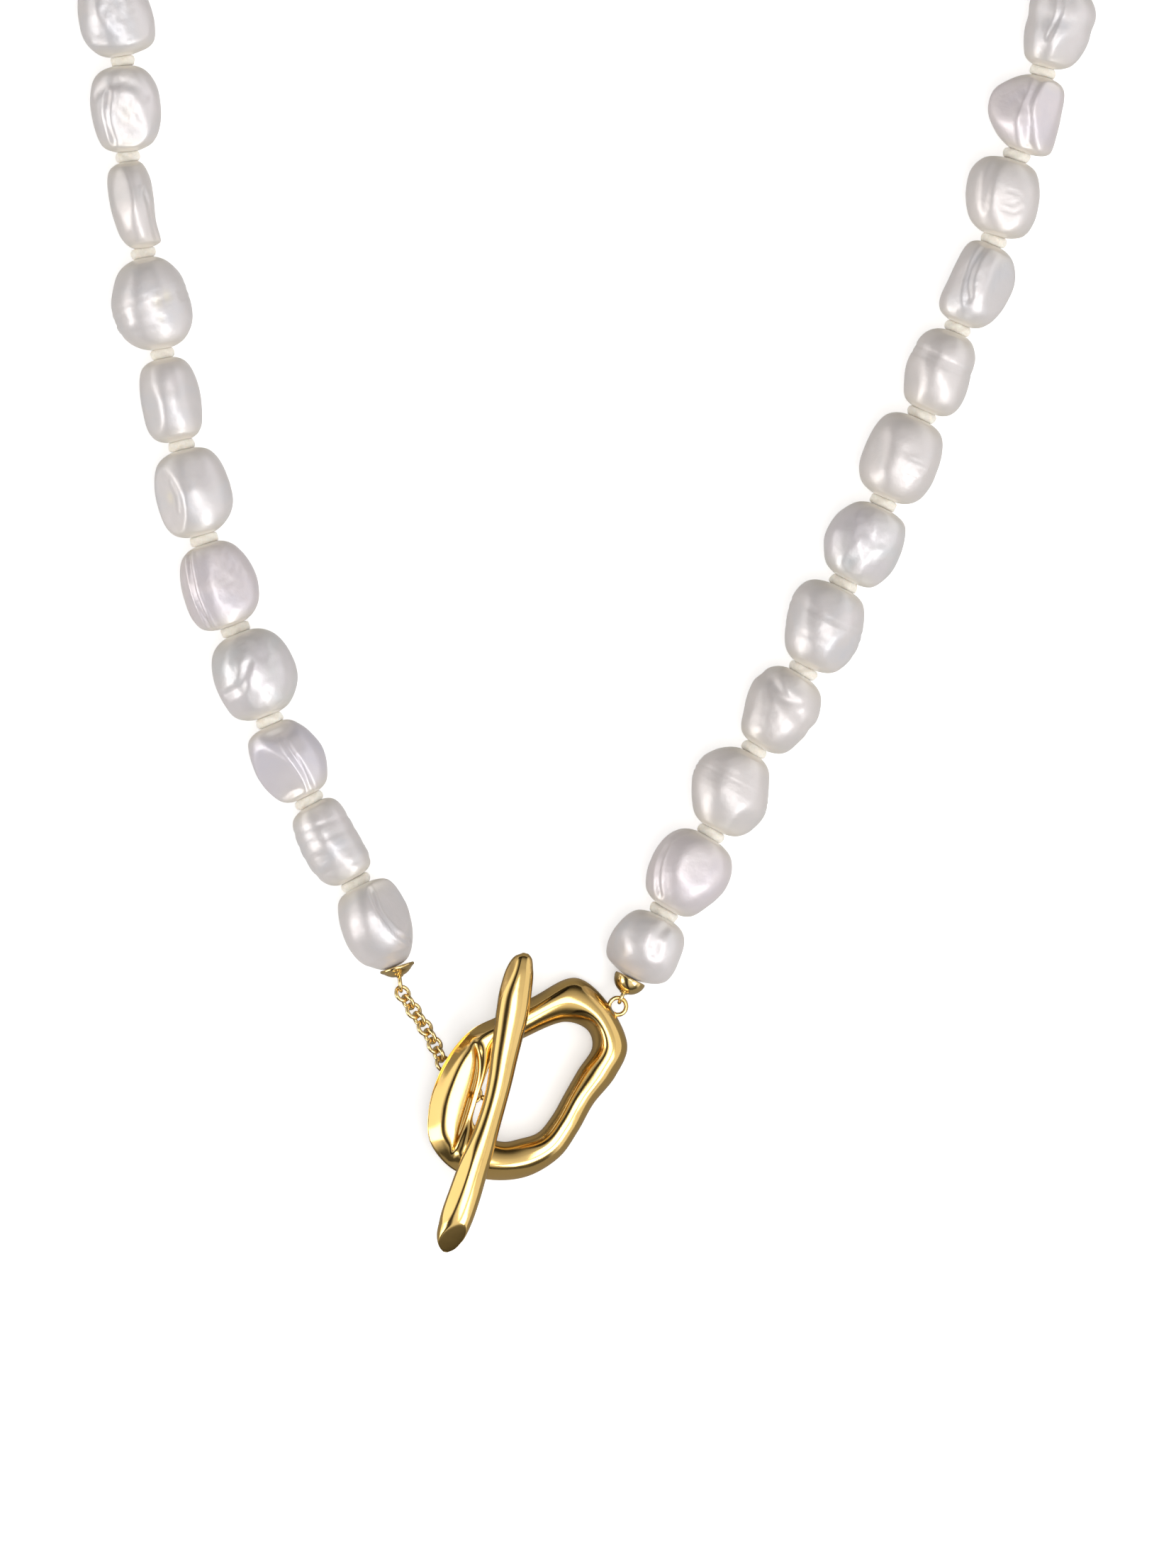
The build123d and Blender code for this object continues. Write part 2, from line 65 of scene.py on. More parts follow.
# ---------------------------------------------------------------- tables, millimetres, as in the CAD model
KNOTS = [
    (-20.67, -70.744, 2.0), (-24.852, -62.125, 3.3), (-29.652, -53.689, 3.6),
    (-33.725, -45.471, 3.6), (-37.216, -36.162, 3.6), (-40.416, -26.925, 3.6),
    (-42.743, -17.253, 3.6), (-44.707, -7.871, 3.6), (-46.67, 2.456, 3.6),
    (-48.27, 12.347, 3.6), (-48.779, 22.165, 3.6), (-50.379, 31.935, 3.6),
    (-51.291, 41.755, 3.6), (-50.471, 51.957, 3.6), (-48.028, 61.219, 3.6),
    (-43.821, 70.24, 3.6), (-37.786, 78.619, 3.6), (-30.769, 85.275, 3.6),
    (-22.32, 90.71, 3.6), (-13.525, 94.256, 3.6), (-3.572, 96.182, 3.6),
    (6.379, 96.097, 3.6), (15.933, 94.089, 3.6), (25.312, 90.003, 3.6),
    (33.139, 84.487, 3.6), (40.027, 77.178, 3.6), (45.203, 68.79, 3.6),
    (48.744, 59.091, 3.6), (50.228, 49.535, 3.6), (49.919, 39.587, 3.6),
    (48.116, 30.655, 3.6), (45.621, 21.075, 3.6), (42.93, 12.493, 3.6),
    (40.602, 3.765, 3.6), (36.893, -5.253, 3.6), (33.184, -14.125, 3.6),
    (29.257, -23.144, 3.6), (25.184, -31.435, 3.6), (21.039, -40.38, 3.6),
    (16.021, -48.453, 3.6), (11.584, -57.035, 3.6), (6.711, -65.18, 3.3),
    (3.33, -71.98, 2.0),
]
STATIONS = [0.95, 1.75, 2.90]
PEARLS = [
    (3.6, [(1.7, 1.7), (2.45, 2.24), (3.07, 2.78), (3.47, 3.2), (3.64, 3.64), (3.45, 3.64), (2.98, 3.45), (2.51, 3.07), (2.04, 2.51)]),  # 01
    (3.3, [(2.22, 2.22), (2.62, 2.49), (3.0, 2.73), (3.33, 2.76), (3.33, 2.8), (3.18, 2.8), (2.95, 2.69), (2.49, 2.35), (2.13, 1.95)]),  # 02
    (3.4, [(2.18, 2.2), (2.56, 2.69), (3.0, 3.16), (3.47, 3.65), (3.76, 3.78), (3.6, 3.33), (3.33, 2.78), (3.02, 2.13), (2.69, 1.64)]),  # 03
    (3.8, [(2.2, 2.15), (2.82, 2.78), (3.53, 3.49), (3.76, 4.31), (4.15, 4.6), (3.84, 4.16), (3.25, 3.64), (2.49, 3.04), (1.91, 2.55)]),  # 04
    (3.3, [(2.73, 1.67), (3.11, 2.24), (3.62, 3.09), (3.95, 3.65), (4.04, 3.87), (3.65, 3.55), (3.18, 2.93), (2.75, 2.25), (2.11, 1.73)]),  # 05
    (3.5, [(2.33, 1.71), (2.84, 2.27), (3.38, 3.09), (3.82, 3.8), (3.98, 4.0), (3.64, 3.67), (3.15, 3.27), (2.58, 2.65), (1.85, 2.02)]),  # 06
    (3.6, [(2.16, 1.84), (2.55, 2.24), (3.0, 2.55), (3.22, 2.85), (3.25, 2.96), (3.09, 2.91), (2.71, 2.51), (2.31, 2.05), (1.85, 1.6)]),  # 07
    (3.9, [(1.51, 1.89), (2.35, 2.53), (3.16, 3.25), (4.05, 3.84), (4.36, 3.91), (3.76, 3.4), (3.07, 2.76), (2.44, 2.09), (1.71, 1.51)]),  # 08
    (3.9, [(1.11, 1.95), (1.53, 1.95), (1.98, 1.85), (2.29, 1.75), (2.6, 1.95), (2.56, 2.05), (2.38, 1.85), (2.05, 1.6), (1.65, 1.36)]),  # 09
    (3.3, [(1.82, 1.44), (2.38, 2.24), (2.85, 3.11), (3.25, 3.53), (3.56, 3.78), (3.45, 3.6), (3.18, 3.05), (2.55, 2.33), (1.84, 1.82)]),  # 10
    (3.7, [(1.75, 1.75), (2.44, 3.3), (3.18, 3.7), (3.76, 3.82), (3.85, 3.75), (3.55, 3.3), (3.0, 2.75), (2.3, 2.2), (1.7, 1.7)]),  # 11
    (3.48, [(2.15, 2.08), (2.71, 2.61), (3.34, 3.25), (3.74, 3.81), (3.74, 3.9), (3.51, 3.76), (3.18, 3.46), (2.68, 2.91), (2.01, 2.24)]),  # 12
    (3.65, [(1.64, 2.24), (2.19, 2.73), (2.97, 3.25), (3.66, 3.67), (3.85, 3.83), (3.53, 3.5), (3.15, 3.03), (2.55, 2.48), (1.94, 1.78)]),  # 13
    (3.55, [(1.86, 2.02), (2.35, 2.68), (2.73, 3.13), (3.04, 3.44), (3.68, 4.03), (3.81, 3.81), (3.44, 3.32), (2.7, 2.77), (2.02, 2.2)]),  # 14
    (3.68, [(1.82, 2.43), (2.38, 2.9), (3.11, 3.48), (3.67, 3.98), (3.96, 4.4), (3.6, 4.12), (3.37, 3.34), (2.69, 2.66), (2.1, 2.05)]),  # 15
    (3.69, [(2.46, 1.43), (3.1, 2.17), (3.81, 2.83), (4.26, 3.34), (4.21, 3.68), (3.72, 3.63), (3.1, 3.21), (2.38, 2.64), (1.71, 1.93)]),  # 16
    (3.39, [(1.48, 1.85), (2.3, 2.47), (3.1, 3.19), (3.97, 3.76), (4.27, 3.83), (3.69, 3.33), (3.01, 2.71), (2.39, 2.05), (1.67, 1.48)]),  # 17
    (3.36, [(1.79, 2.33), (2.22, 2.78), (2.6, 3.14), (2.99, 3.32), (3.38, 3.16), (3.33, 2.99), (2.88, 2.6), (2.29, 2.13), (1.68, 1.74)]),  # 18
    (3.81, [(2.2, 2.2), (2.47, 2.59), (2.7, 2.97), (2.74, 3.3), (2.77, 3.3), (2.77, 3.15), (2.67, 2.92), (2.32, 2.47), (1.93, 2.11)]),  # 19
    (3.49, [(2.15, 2.06), (2.65, 2.51), (3.12, 3.05), (3.48, 3.57), (3.99, 3.88), (3.95, 3.86), (3.45, 3.26), (2.84, 2.56), (2.24, 1.99)]),  # 20
    (3.48, [(2.69, 1.65), (3.06, 2.2), (3.56, 3.04), (3.89, 3.6), (3.97, 3.81), (3.6, 3.49), (3.13, 2.88), (2.7, 2.22), (2.08, 1.7)]),  # 21
    (3.9, [(1.79, 1.81), (2.36, 2.31), (2.75, 2.8), (2.81, 3.18), (2.69, 3.61), (2.57, 3.58), (2.48, 2.97), (2.15, 2.36), (1.81, 1.86)]),  # 22
    (3.61, [(1.58, 1.31), (1.97, 1.53), (2.28, 1.78), (2.45, 1.97), (2.49, 1.86), (2.19, 1.67), (1.9, 1.78), (1.46, 1.86), (1.06, 1.86)]),  # 23
    (3.81, [(1.79, 2.31), (2.31, 2.97), (3.08, 3.43), (3.67, 3.83), (4.03, 3.94), (3.69, 3.83), (3.11, 3.43), (2.49, 3.01), (1.84, 2.58)]),  # 24
    (3.61, [(1.87, 2.2), (2.27, 2.59), (2.59, 3.05), (2.9, 3.27), (3.01, 3.31), (2.96, 3.14), (2.55, 2.75), (2.09, 2.35), (1.63, 1.88)]),  # 25
    (3.7, [(1.76, 1.75), (2.44, 2.23), (3.05, 2.93), (3.32, 3.46), (3.42, 3.63), (3.12, 3.39), (2.74, 2.98), (2.29, 2.15), (1.75, 1.38)]),  # 26
    (3.43, [(2.52, 1.97), (3.17, 2.55), (3.77, 3.06), (4.08, 3.55), (3.94, 4.03), (3.34, 3.85), (2.83, 3.34), (2.23, 2.73), (1.71, 2.18)]),  # 27
    (3.7, [(2.69, 1.64), (3.02, 2.13), (3.33, 2.78), (3.6, 3.33), (3.76, 3.78), (3.47, 3.66), (3.0, 3.16), (2.56, 2.69), (2.18, 2.2)]),  # 28
    (3.83, [(2.11, 1.7), (2.7, 2.13), (3.69, 2.72), (4.46, 3.25), (4.7, 4.2), (3.94, 4.07), (3.23, 3.53), (2.56, 2.98), (2.13, 2.48)]),  # 29
    (3.64, [(1.23, 2.99), (1.99, 3.22), (2.93, 3.35), (3.89, 3.3), (4.47, 3.26), (4.29, 3.06), (3.06, 2.86), (2.14, 2.61), (1.34, 2.23)]),  # 30
    (3.6, [(1.7, 1.65), (2.5, 2.2), (3.4, 2.85), (4.05, 3.1), (4.04, 2.96), (3.5, 2.78), (2.96, 2.44), (2.36, 2.15), (1.89, 1.82)]),  # 31
    (3.3, [(2.24, 1.35), (2.62, 2.15), (2.87, 3.07), (3.07, 4.31), (3.27, 4.49), (3.31, 3.91), (3.36, 2.95), (3.24, 2.0), (3.0, 1.24)]),  # 32
    (3.6, [(1.44, 2.47), (2.18, 3.13), (2.85, 3.84), (3.36, 4.29), (3.71, 4.24), (3.65, 3.75), (3.24, 3.13), (2.65, 2.4), (1.95, 1.73)]),  # 33
    (3.5, [(1.95, 1.89), (2.47, 2.25), (3.11, 2.6), (3.75, 2.69), (3.78, 2.82), (3.33, 2.95), (2.93, 2.87), (2.42, 2.47), (1.89, 1.87)]),  # 34
    (3.7, [(1.82, 1.76), (2.24, 2.4), (2.73, 3.02), (3.13, 3.49), (3.31, 3.55), (3.47, 3.13), (3.29, 2.73), (2.91, 2.33), (2.44, 1.87)]),  # 35
    (3.9, [(2.05, 2.29), (2.75, 2.98), (3.25, 3.55), (3.6, 3.85), (3.84, 4.0), (3.84, 3.91), (3.42, 3.33), (2.78, 2.67), (2.2, 2.13)]),  # 36
    (3.6, [(2.35, 1.82), (3.02, 2.35), (3.49, 3.13), (3.89, 3.73), (4.0, 4.09), (3.89, 3.75), (3.49, 3.16), (3.05, 2.53), (2.62, 1.87)]),  # 37
    (3.9, [(2.04, 2.6), (2.64, 3.27), (3.16, 3.89), (3.67, 4.22), (4.16, 4.07), (3.98, 3.45), (3.45, 2.93), (2.82, 2.31), (2.25, 1.76)]),  # 38
    (3.7, [(2.2, 2.02), (2.76, 2.69), (3.31, 3.44), (3.8, 3.8), (4.02, 3.67), (3.44, 3.04), (3.13, 2.73), (2.67, 2.35), (2.02, 1.85)]),  # 39
    (3.6, [(1.65, 2.05), (2.07, 2.64), (2.65, 3.6), (3.16, 4.35), (4.09, 4.64), (3.96, 3.84), (3.44, 3.15), (2.91, 2.49), (2.42, 2.07)]),  # 40
    (3.8, [(2.35, 2.09), (2.98, 2.69), (3.62, 3.42), (4.15, 4.05), (4.18, 4.07), (3.65, 3.75), (3.27, 3.2), (2.78, 2.64), (2.25, 2.16)]),  # 41
    (3.5, [(2.38, 1.8), (2.85, 2.64), (3.35, 3.27), (3.67, 3.71), (3.69, 3.84), (3.67, 3.87), (3.65, 3.62), (3.42, 3.22), (1.62, 1.62)]),  # 42
]
RING = [
    ((-2.089, -71.944), (-3.47, -76.453), 2.25, 2.0),
    ((0.893, -74.344), (-1.216, -77.18), 2.0, 1.95),
    ((3.002, -78.78), (-0.634, -79.144), 1.95, 1.9),
    ((1.766, -82.053), (-2.016, -81.325), 1.85, 1.8),
    ((-0.489, -84.889), (-3.398, -83.725), 1.75, 1.7),
    ((-2.089, -87.725), (-4.707, -86.053), 1.75, 1.7),
    ((-3.907, -90.271), (-6.161, -87.798), 1.75, 1.7),
    ((-6.67, -92.089), (-8.052, -88.453), 1.85, 1.8),
    ((-9.07, -92.671), (-9.507, -88.744), 2.15, 1.95),
    ((-11.907, -92.525), (-10.889, -88.453), 2.75, 1.7),
    ((-15.107, -91.435), (-12.125, -87.507), 3.3, 1.2),
    ((-17.216, -88.816), (-12.852, -86.635), 3.72, 0.78),
    ((-17.434, -85.762), (-12.561, -85.035), 3.78, 0.74),
    ((-16.561, -82.344), (-11.834, -82.853), 3.78, 0.74),
    ((-15.034, -79.435), (-11.034, -80.816), 3.75, 0.76),
    ((-12.925, -77.18), (-9.943, -79.507), 3.5, 1.0),
    ((-10.016, -75.725), (-8.852, -78.707), 3.0, 1.45),
    ((-6.743, -73.907), (-7.689, -78.125), 2.55, 1.8),
]
BAR = [
    (-7.398, -69.362, 6.0, 0.291, 0.3),
    (-7.507, -69.762, 6.02, 0.8, 0.75),
    (-7.907, -70.78, 6.05, 1.324, 1.15),
    (-8.416, -73.107, 6.05, 1.636, 1.4),
    (-8.779, -75.435, 6.05, 1.673, 1.45),
    (-9.216, -77.762, 6.05, 1.542, 1.45),
    (-9.652, -80.016, 6.05, 1.411, 1.42),
    (-10.059, -82.344, 6.05, 1.28, 1.38),
    (-10.605, -84.671, 6.05, 1.207, 1.35),
    (-11.289, -86.998, 6.05, 1.251, 1.38),
    (-12.052, -89.325, 6.05, 1.425, 1.42),
    (-12.881, -91.653, 6.05, 1.564, 1.45),
    (-13.638, -93.98, 6.0, 1.658, 1.45),
    (-14.43, -96.271, 5.9, 1.673, 1.4),
    (-14.83, -97.435, 5.8, 1.571, 1.3),
    (-15.252, -98.562, 5.7, 1.345, 1.1),
    (-15.507, -99.58, 5.6, 0.836, 0.7),
    (-15.616, -100.053, 5.55, 0.327, 0.3),
]
LINKS = [-57.49, -57.22, -56.38, -55.96, -57.86, -60.63, -64.6, -66.72, -60.73, -53.26, -45.22, -38.26]
LEFT_CAP_DIR = (0.3, -0.9539)
LEFT_EYE_END = (-20.234, -73.275)
RIGHT_EYE_END = (2.181, -74.445)
RING_LOOP_C = (2.017, -74.838)
BAR_SHANK_TOP = (-10.852, -84.598)
LINK_R, LINK_W = 0.73, 0.20
RUN = 0.02


# ---------------------------------------------------------------- small helpers
def unit(v):
    v = np.asarray(v, float)
    return v / np.linalg.norm(v)


def smooth(x):
    x = np.clip(x, 0, 1)
    return x * x * (3 - 2 * x)


def spline(points, n, closed=False, power=0.5, at=None):
    """a smooth curve through rows of numbers; the first two or three columns set its spacing"""
    p = np.asarray(points, float)
    m = len(p)
    if closed:
        p = np.vstack([p[-2:], p, p[:3]])
    h = np.maximum(np.sqrt((np.diff(p[:, :3], axis=0) ** 2).sum(1)), 1e-6) ** power
    t = np.concatenate([[0], np.cumsum(h)])
    d = np.diff(p, axis=0) / h[:, None]
    tan = np.zeros_like(p)
    tan[1:-1] = (d[:-1] * h[1:, None] + d[1:] * h[:-1, None]) / (h[1:] + h[:-1])[:, None]
    tan[0], tan[-1] = d[0], d[-1]
    lo, hi = (t[2], t[2 + m]) if closed else (t[0], t[-1])
    if at is None:
        x = np.linspace(lo, hi, n, endpoint=not closed)
    else:
        base = t[2:2 + m + 1] if closed else t
        x = np.interp(at, np.arange(len(base)), base)
    k = np.clip(np.searchsorted(t, x, side="right") - 1, 0, len(h) - 1)
    s = ((x - t[k]) / h[k])[:, None]
    hk = h[k][:, None]
    return (
        (2 * s**3 - 3 * s**2 + 1) * p[k] + (s**3 - 2 * s**2 + s) * hk * tan[k]
        + (-2 * s**3 + 3 * s**2) * p[k + 1] + (s**3 - s**2) * hk * tan[k + 1]
    )


def mesh_piece(name, verts, faces, mat, tips=None):
    """verts in millimetres"""
    me = bpy.data.meshes.new(name)
    me.from_pydata((np.asarray(verts, float) * MM).tolist(), [], faces)
    bm = bmesh.new()
    bm.from_mesh(me)
    bmesh.ops.recalc_face_normals(bm, faces=bm.faces)
    bm.to_mesh(me)
    bm.free()
    me.polygons.foreach_set("use_smooth", [True] * len(me.polygons))
    if tips is not None:
        me.attributes.new("tip", "FLOAT", "POINT").data.foreach_set("value", np.asarray(tips, np.float32))
    me.materials.append(mat)
    me.update()
    ob = bpy.data.objects.new(name, me)
    bpy.context.scene.collection.objects.link(ob)
    return ob


def skin(grid, closed=False):
    """faces over rows of rings; the two ends of an open one are closed with a fan"""
    nu, nv = grid.shape[:2]
    verts = list(grid.reshape(-1, 3))
    faces = []
    for i in range(nu if closed else nu - 1):
        i2 = (i + 1) % nu
        for j in range(nv):
            j2 = (j + 1) % nv
            faces.append((i * nv + j, i * nv + j2, i2 * nv + j2, i2 * nv + j))
    if not closed:
        for i in (0, nu - 1):
            verts.append(grid[i].mean(0))
            c = len(verts) - 1
            for j in range(nv):
                faces.append((i * nv + j, i * nv + (j + 1) % nv, c))
    return np.array(verts), faces


def join(parts):
    verts, faces, n = [], [], 0
    for v, f in parts:
        verts.append(np.asarray(v))
        faces += [tuple(i + n for i in q) for q in f]
        n += len(v)
    return np.vstack(verts), faces


def torus(centre, axis, big, small, n=64, m=20, squash=1.0):
    """a wire ring round an axis"""
    axis = unit(axis)
    e1 = unit(np.cross(axis, (0.3, 0.4, 0.85)))
    e2 = np.cross(axis, e1)
    grid = np.zeros((n, m, 3))
    for i in range(n):
        a = 2 * math.pi * i / n
        out = e1 * math.cos(a) + e2 * math.sin(a)
        for j in range(m):
            b = 2 * math.pi * j / m
            grid[i, j] = np.asarray(centre) + out * (big + small * math.cos(b)) + axis * small * squash * math.sin(b)
    return skin(grid, closed=True)


def tube(points, radii, m=24):
    """a round rod through points"""
    p = np.asarray(points, float)
    grid = np.zeros((len(p), m, 3))
    up = None
    for i in range(len(p)):
        d = unit(p[min(i + 1, len(p) - 1)] - p[max(i - 1, 0)])
        if up is None:
            up = unit(np.cross(d, (0.31, 0.52, 0.79)))
        up = unit(up - d * np.dot(up, d))
        side = np.cross(d, up)
        for j in range(m):
            b = 2 * math.pi * j / m
            grid[i, j] = p[i] + (up * math.cos(b) + side * math.sin(b)) * radii[i]
    return skin(grid)


# ---------------------------------------------------------------- materials
def node(nt, kind, x, y, **values):
    n = nt.nodes.new(kind)
    n.location = (x, y)
    for k, v in values.items():
        if hasattr(n, k):
            setattr(n, k, v)
        else:
            n.inputs[k.replace("_", " ")].default_value = v
    return n


def new_material(name):
    m = bpy.data.materials.new(name)
    m.use_nodes = True
    nt = m.node_tree
    nt.nodes.clear()
    out = node(nt, "ShaderNodeOutputMaterial", 900, 0)
    bsdf = node(nt, "ShaderNodeBsdfPrincipled", 600, 0)
    nt.links.new(bsdf.outputs[0], out.inputs[0])
    coord = node(nt, "ShaderNodeTexCoord", -1200, 0)
    return m, nt, bsdf, coord.outputs["Object"]


def ramp(nt, source, stops, x, y):
    r = node(nt, "ShaderNodeValToRGB", x, y)
    while len(r.color_ramp.elements) < len(stops):
        r.color_ramp.elements.new(0.5)
    for e, (pos, col) in zip(r.color_ramp.elements, stops):
        e.position = pos
        e.color = (*col, 1)
    nt.links.new(source, r.inputs[0])
    return r.outputs[0]


def noise_tex(nt, coord, scale, detail, rough, x, y, distort=0.0):
    n = node(nt, "ShaderNodeTexNoise", x, y)
    n.inputs["Scale"].default_value = scale
    n.inputs["Detail"].default_value = detail
    n.inputs["Roughness"].default_value = rough
    n.inputs["Distortion"].default_value = distort
    nt.links.new(coord, n.inputs["Vector"])
    return n.outputs["Fac"]


def pearl_material(name, cool, mid, warm, rough, film=0):
    m, nt, b, co = new_material(name)
    cloud = noise_tex(nt, co, 190, 3, 0.5, -900, 300, 0.6)
    orient = ramp(nt, cloud, [(0.30, cool), (0.50, mid), (0.68, warm)], -600, 300)
    attr = node(nt, "ShaderNodeAttribute", -900, 0)
    attr.attribute_name = "tip"
    cream = node(nt, "ShaderNodeMix", -250, 250)
    cream.data_type = "RGBA"
    nt.links.new(attr.outputs["Fac"], cream.inputs["Factor"])
    nt.links.new(orient, cream.inputs["A"])
    cream.inputs["B"].default_value = (0.77, 0.715, 0.62, 1)
    nt.links.new(cream.outputs["Result"], b.inputs["Base Color"])
    b.inputs["Metallic"].default_value = 0.32
    rgh = noise_tex(nt, co, 900, 4, 0.6, -900, -250)
    rmap = node(nt, "ShaderNodeMapRange", -600, -250)
    rmap.inputs["To Min"].default_value = rough - 0.05
    rmap.inputs["To Max"].default_value = rough + 0.07
    nt.links.new(rgh, rmap.inputs["Value"])
    nt.links.new(rmap.outputs[0], b.inputs["Roughness"])
    b.inputs["IOR"].default_value = 1.56
    b.inputs["Subsurface Weight"].default_value = 0.12
    b.inputs["Subsurface Radius"].default_value = (0.9, 0.7, 0.6)
    b.inputs["Subsurface Scale"].default_value = 0.0012
    b.inputs["Coat Weight"].default_value = 0.22
    b.inputs["Coat Roughness"].default_value = 0.25
    b.inputs["Sheen Weight"].default_value = 0.35
    b.inputs["Sheen Roughness"].default_value = 0.35
    b.inputs["Thin Film Thickness"].default_value = film
    b.inputs["Thin Film IOR"].default_value = 1.36
    fine = noise_tex(nt, co, 2600, 4, 0.65, -900, -500)
    soft = noise_tex(nt, co, 620, 3, 0.5, -900, -700)
    bump1 = node(nt, "ShaderNodeBump", -100, -500)
    bump1.inputs["Strength"].default_value = 0.10
    bump1.inputs["Distance"].default_value = 0.00012
    nt.links.new(fine, bump1.inputs["Height"])
    bump2 = node(nt, "ShaderNodeBump", 150, -450)
    bump2.inputs["Strength"].default_value = 0.28
    bump2.inputs["Distance"].default_value = 0.00022
    nt.links.new(soft, bump2.inputs["Height"])
    nt.links.new(bump1.outputs[0], bump2.inputs["Normal"])
    nt.links.new(bump2.outputs[0], b.inputs["Normal"])
    return m


def gold_material(name, rough, low=(0.80, 0.530, 0.165), high=(0.86, 0.585, 0.205)):
    m, nt, b, co = new_material(name)
    cloud = noise_tex(nt, co, 160, 3, 0.5, -900, 300)
    colour = ramp(nt, cloud, [(0.30, low), (0.70, high)], -600, 300)
    nt.links.new(colour, b.inputs["Base Color"])
    b.inputs["Metallic"].default_value = 1.0
    b.inputs["Coat Weight"].default_value = 0.45                   # clear lacquer over the plating: paler highlights
    b.inputs["Coat Roughness"].default_value = 0.16
    b.inputs["Coat IOR"].default_value = 1.7
    wear = noise_tex(nt, co, 1500, 5, 0.7, -900, -200, 0.3)
    rmap = node(nt, "ShaderNodeMapRange", -600, -200)
    rmap.inputs["From Min"].default_value = 0.35
    rmap.inputs["From Max"].default_value = 0.75
    rmap.inputs["To Min"].default_value = rough
    rmap.inputs["To Max"].default_value = rough + 0.055
    nt.links.new(wear, rmap.inputs["Value"])
    nt.links.new(rmap.outputs[0], b.inputs["Roughness"])
    fine = noise_tex(nt, co, 700, 3, 0.5, -900, -500)
    bump = node(nt, "ShaderNodeBump", -100, -400)
    bump.inputs["Strength"].default_value = 0.05
    bump.inputs["Distance"].default_value = 0.0001
    nt.links.new(fine, bump.inputs["Height"])
    nt.links.new(bump.outputs[0], b.inputs["Normal"])
    return m


def silk_material():
    m, nt, b, co = new_material("silk_cord")
    fibre = noise_tex(nt, co, 2400, 4, 0.7, -900, 300, 1.2)
    colour = ramp(nt, fibre, [(0.30, (0.74, 0.695, 0.615)), (0.70, (0.86, 0.82, 0.745))], -600, 300)
    nt.links.new(colour, b.inputs["Base Color"])
    b.inputs["Roughness"].default_value = 0.62
    b.inputs["Sheen Weight"].default_value = 0.5
    b.inputs["Sheen Roughness"].default_value = 0.4
    b.inputs["Subsurface Weight"].default_value = 0.5
    b.inputs["Subsurface Radius"].default_value = (1.0, 0.8, 0.6)
    b.inputs["Subsurface Scale"].default_value = 0.0006
    bump = node(nt, "ShaderNodeBump", -100, -300)
    bump.inputs["Strength"].default_value = 0.5
    bump.inputs["Distance"].default_value = 0.00008
    nt.links.new(fibre, bump.inputs["Height"])
    nt.links.new(bump.outputs[0], b.inputs["Normal"])
    return m


PEARL_MATS = {
    "silver": pearl_material("nacre_silver", (0.635, 0.625, 0.65), (0.68, 0.645, 0.645), (0.72, 0.675, 0.68), 0.36),
    "rose": pearl_material("nacre_rose", (0.65, 0.605, 0.645), (0.69, 0.63, 0.65), (0.725, 0.67, 0.675), 0.35),
    "cream": pearl_material("nacre_cream", (0.65, 0.62, 0.615), (0.69, 0.645, 0.635), (0.725, 0.68, 0.67), 0.37),
    "green": pearl_material("nacre_green", (0.62, 0.635, 0.655), (0.665, 0.64, 0.645), (0.70, 0.66, 0.685), 0.32),
    "lilac": pearl_material("nacre_lilac", (0.645, 0.615, 0.68), (0.68, 0.64, 0.675), (0.71, 0.665, 0.685), 0.35),
}
GOLD = gold_material("gold_polished", 0.115)
GOLD_SMALL = gold_material("gold_wire", 0.13, (0.82, 0.60, 0.25), (0.88, 0.66, 0.30))
SILK = silk_material()


# ---------------------------------------------------------------- pearls
# A pearl is shaped on its own unit form: q = (across, along, up), across to the right of the
# strand and along to the nape, each about 1 at the pearl's surface.
def facet(q, n, d, k=0.95, w=0.035):
    n = unit(n)
    x = q @ n - (1 - d)
    s = w * np.log1p(np.exp(np.clip(x / w, -30, 30)))
    return q - np.outer(k * s, n)


def bump(q, centre, r, amp):
    n = unit(centre)
    r0 = np.linalg.norm(q, axis=1, keepdims=True)
    ang = np.arccos(np.clip((q / r0) @ n, -1, 1))
    return q + q / r0 * (amp * np.exp(-((ang / r) ** 2)))[:, None]


def groove(q, path, w, depth, rim=0.35):
    pts = spline([unit(c) for c in path], 40)
    pts /= np.linalg.norm(pts, axis=1, keepdims=True)
    r0 = np.linalg.norm(q, axis=1, keepdims=True)
    ang = np.arccos(np.clip((q / r0) @ pts.T, -1, 1)).min(1)
    f = -np.exp(-((ang / w) ** 2)) + rim * np.exp(-(((ang - 2.0 * w) / w) ** 2))
    return q + q / r0 * (depth * f)[:, None]


def band(q, a0, w, depth, lean=0.0, side=None):
    a = q[:, 1] + lean * q[:, 0]
    f = depth * np.exp(-(((a - a0) / w) ** 2))
    if side is not None:
        f = f * smooth((q[:, 0] * side + 0.5) / 0.7)
    out = q.copy()
    out[:, 0] *= 1 - f
    out[:, 2] *= 1 - f
    return out


def grain(q, seed, scale, amp, window=None, octaves=1):
    r0 = np.linalg.norm(q, axis=1, keepdims=True)
    off = Vector((seed * 7.13, seed * 3.71, seed * 1.37))
    val = np.array([noise.noise(Vector(v) * scale + off) for v in q])
    if octaves > 1:
        val = val + 0.5 * np.array([noise.noise(Vector(v) * scale * 2.1 + off) for v in q])
    if window is not None:
        c, r = window
        ang = np.arccos(np.clip((q / r0) @ unit(c), -1, 1))
        val = val * np.exp(-((ang / r) ** 4))
    return q + q / r0 * (amp * val)[:, None]


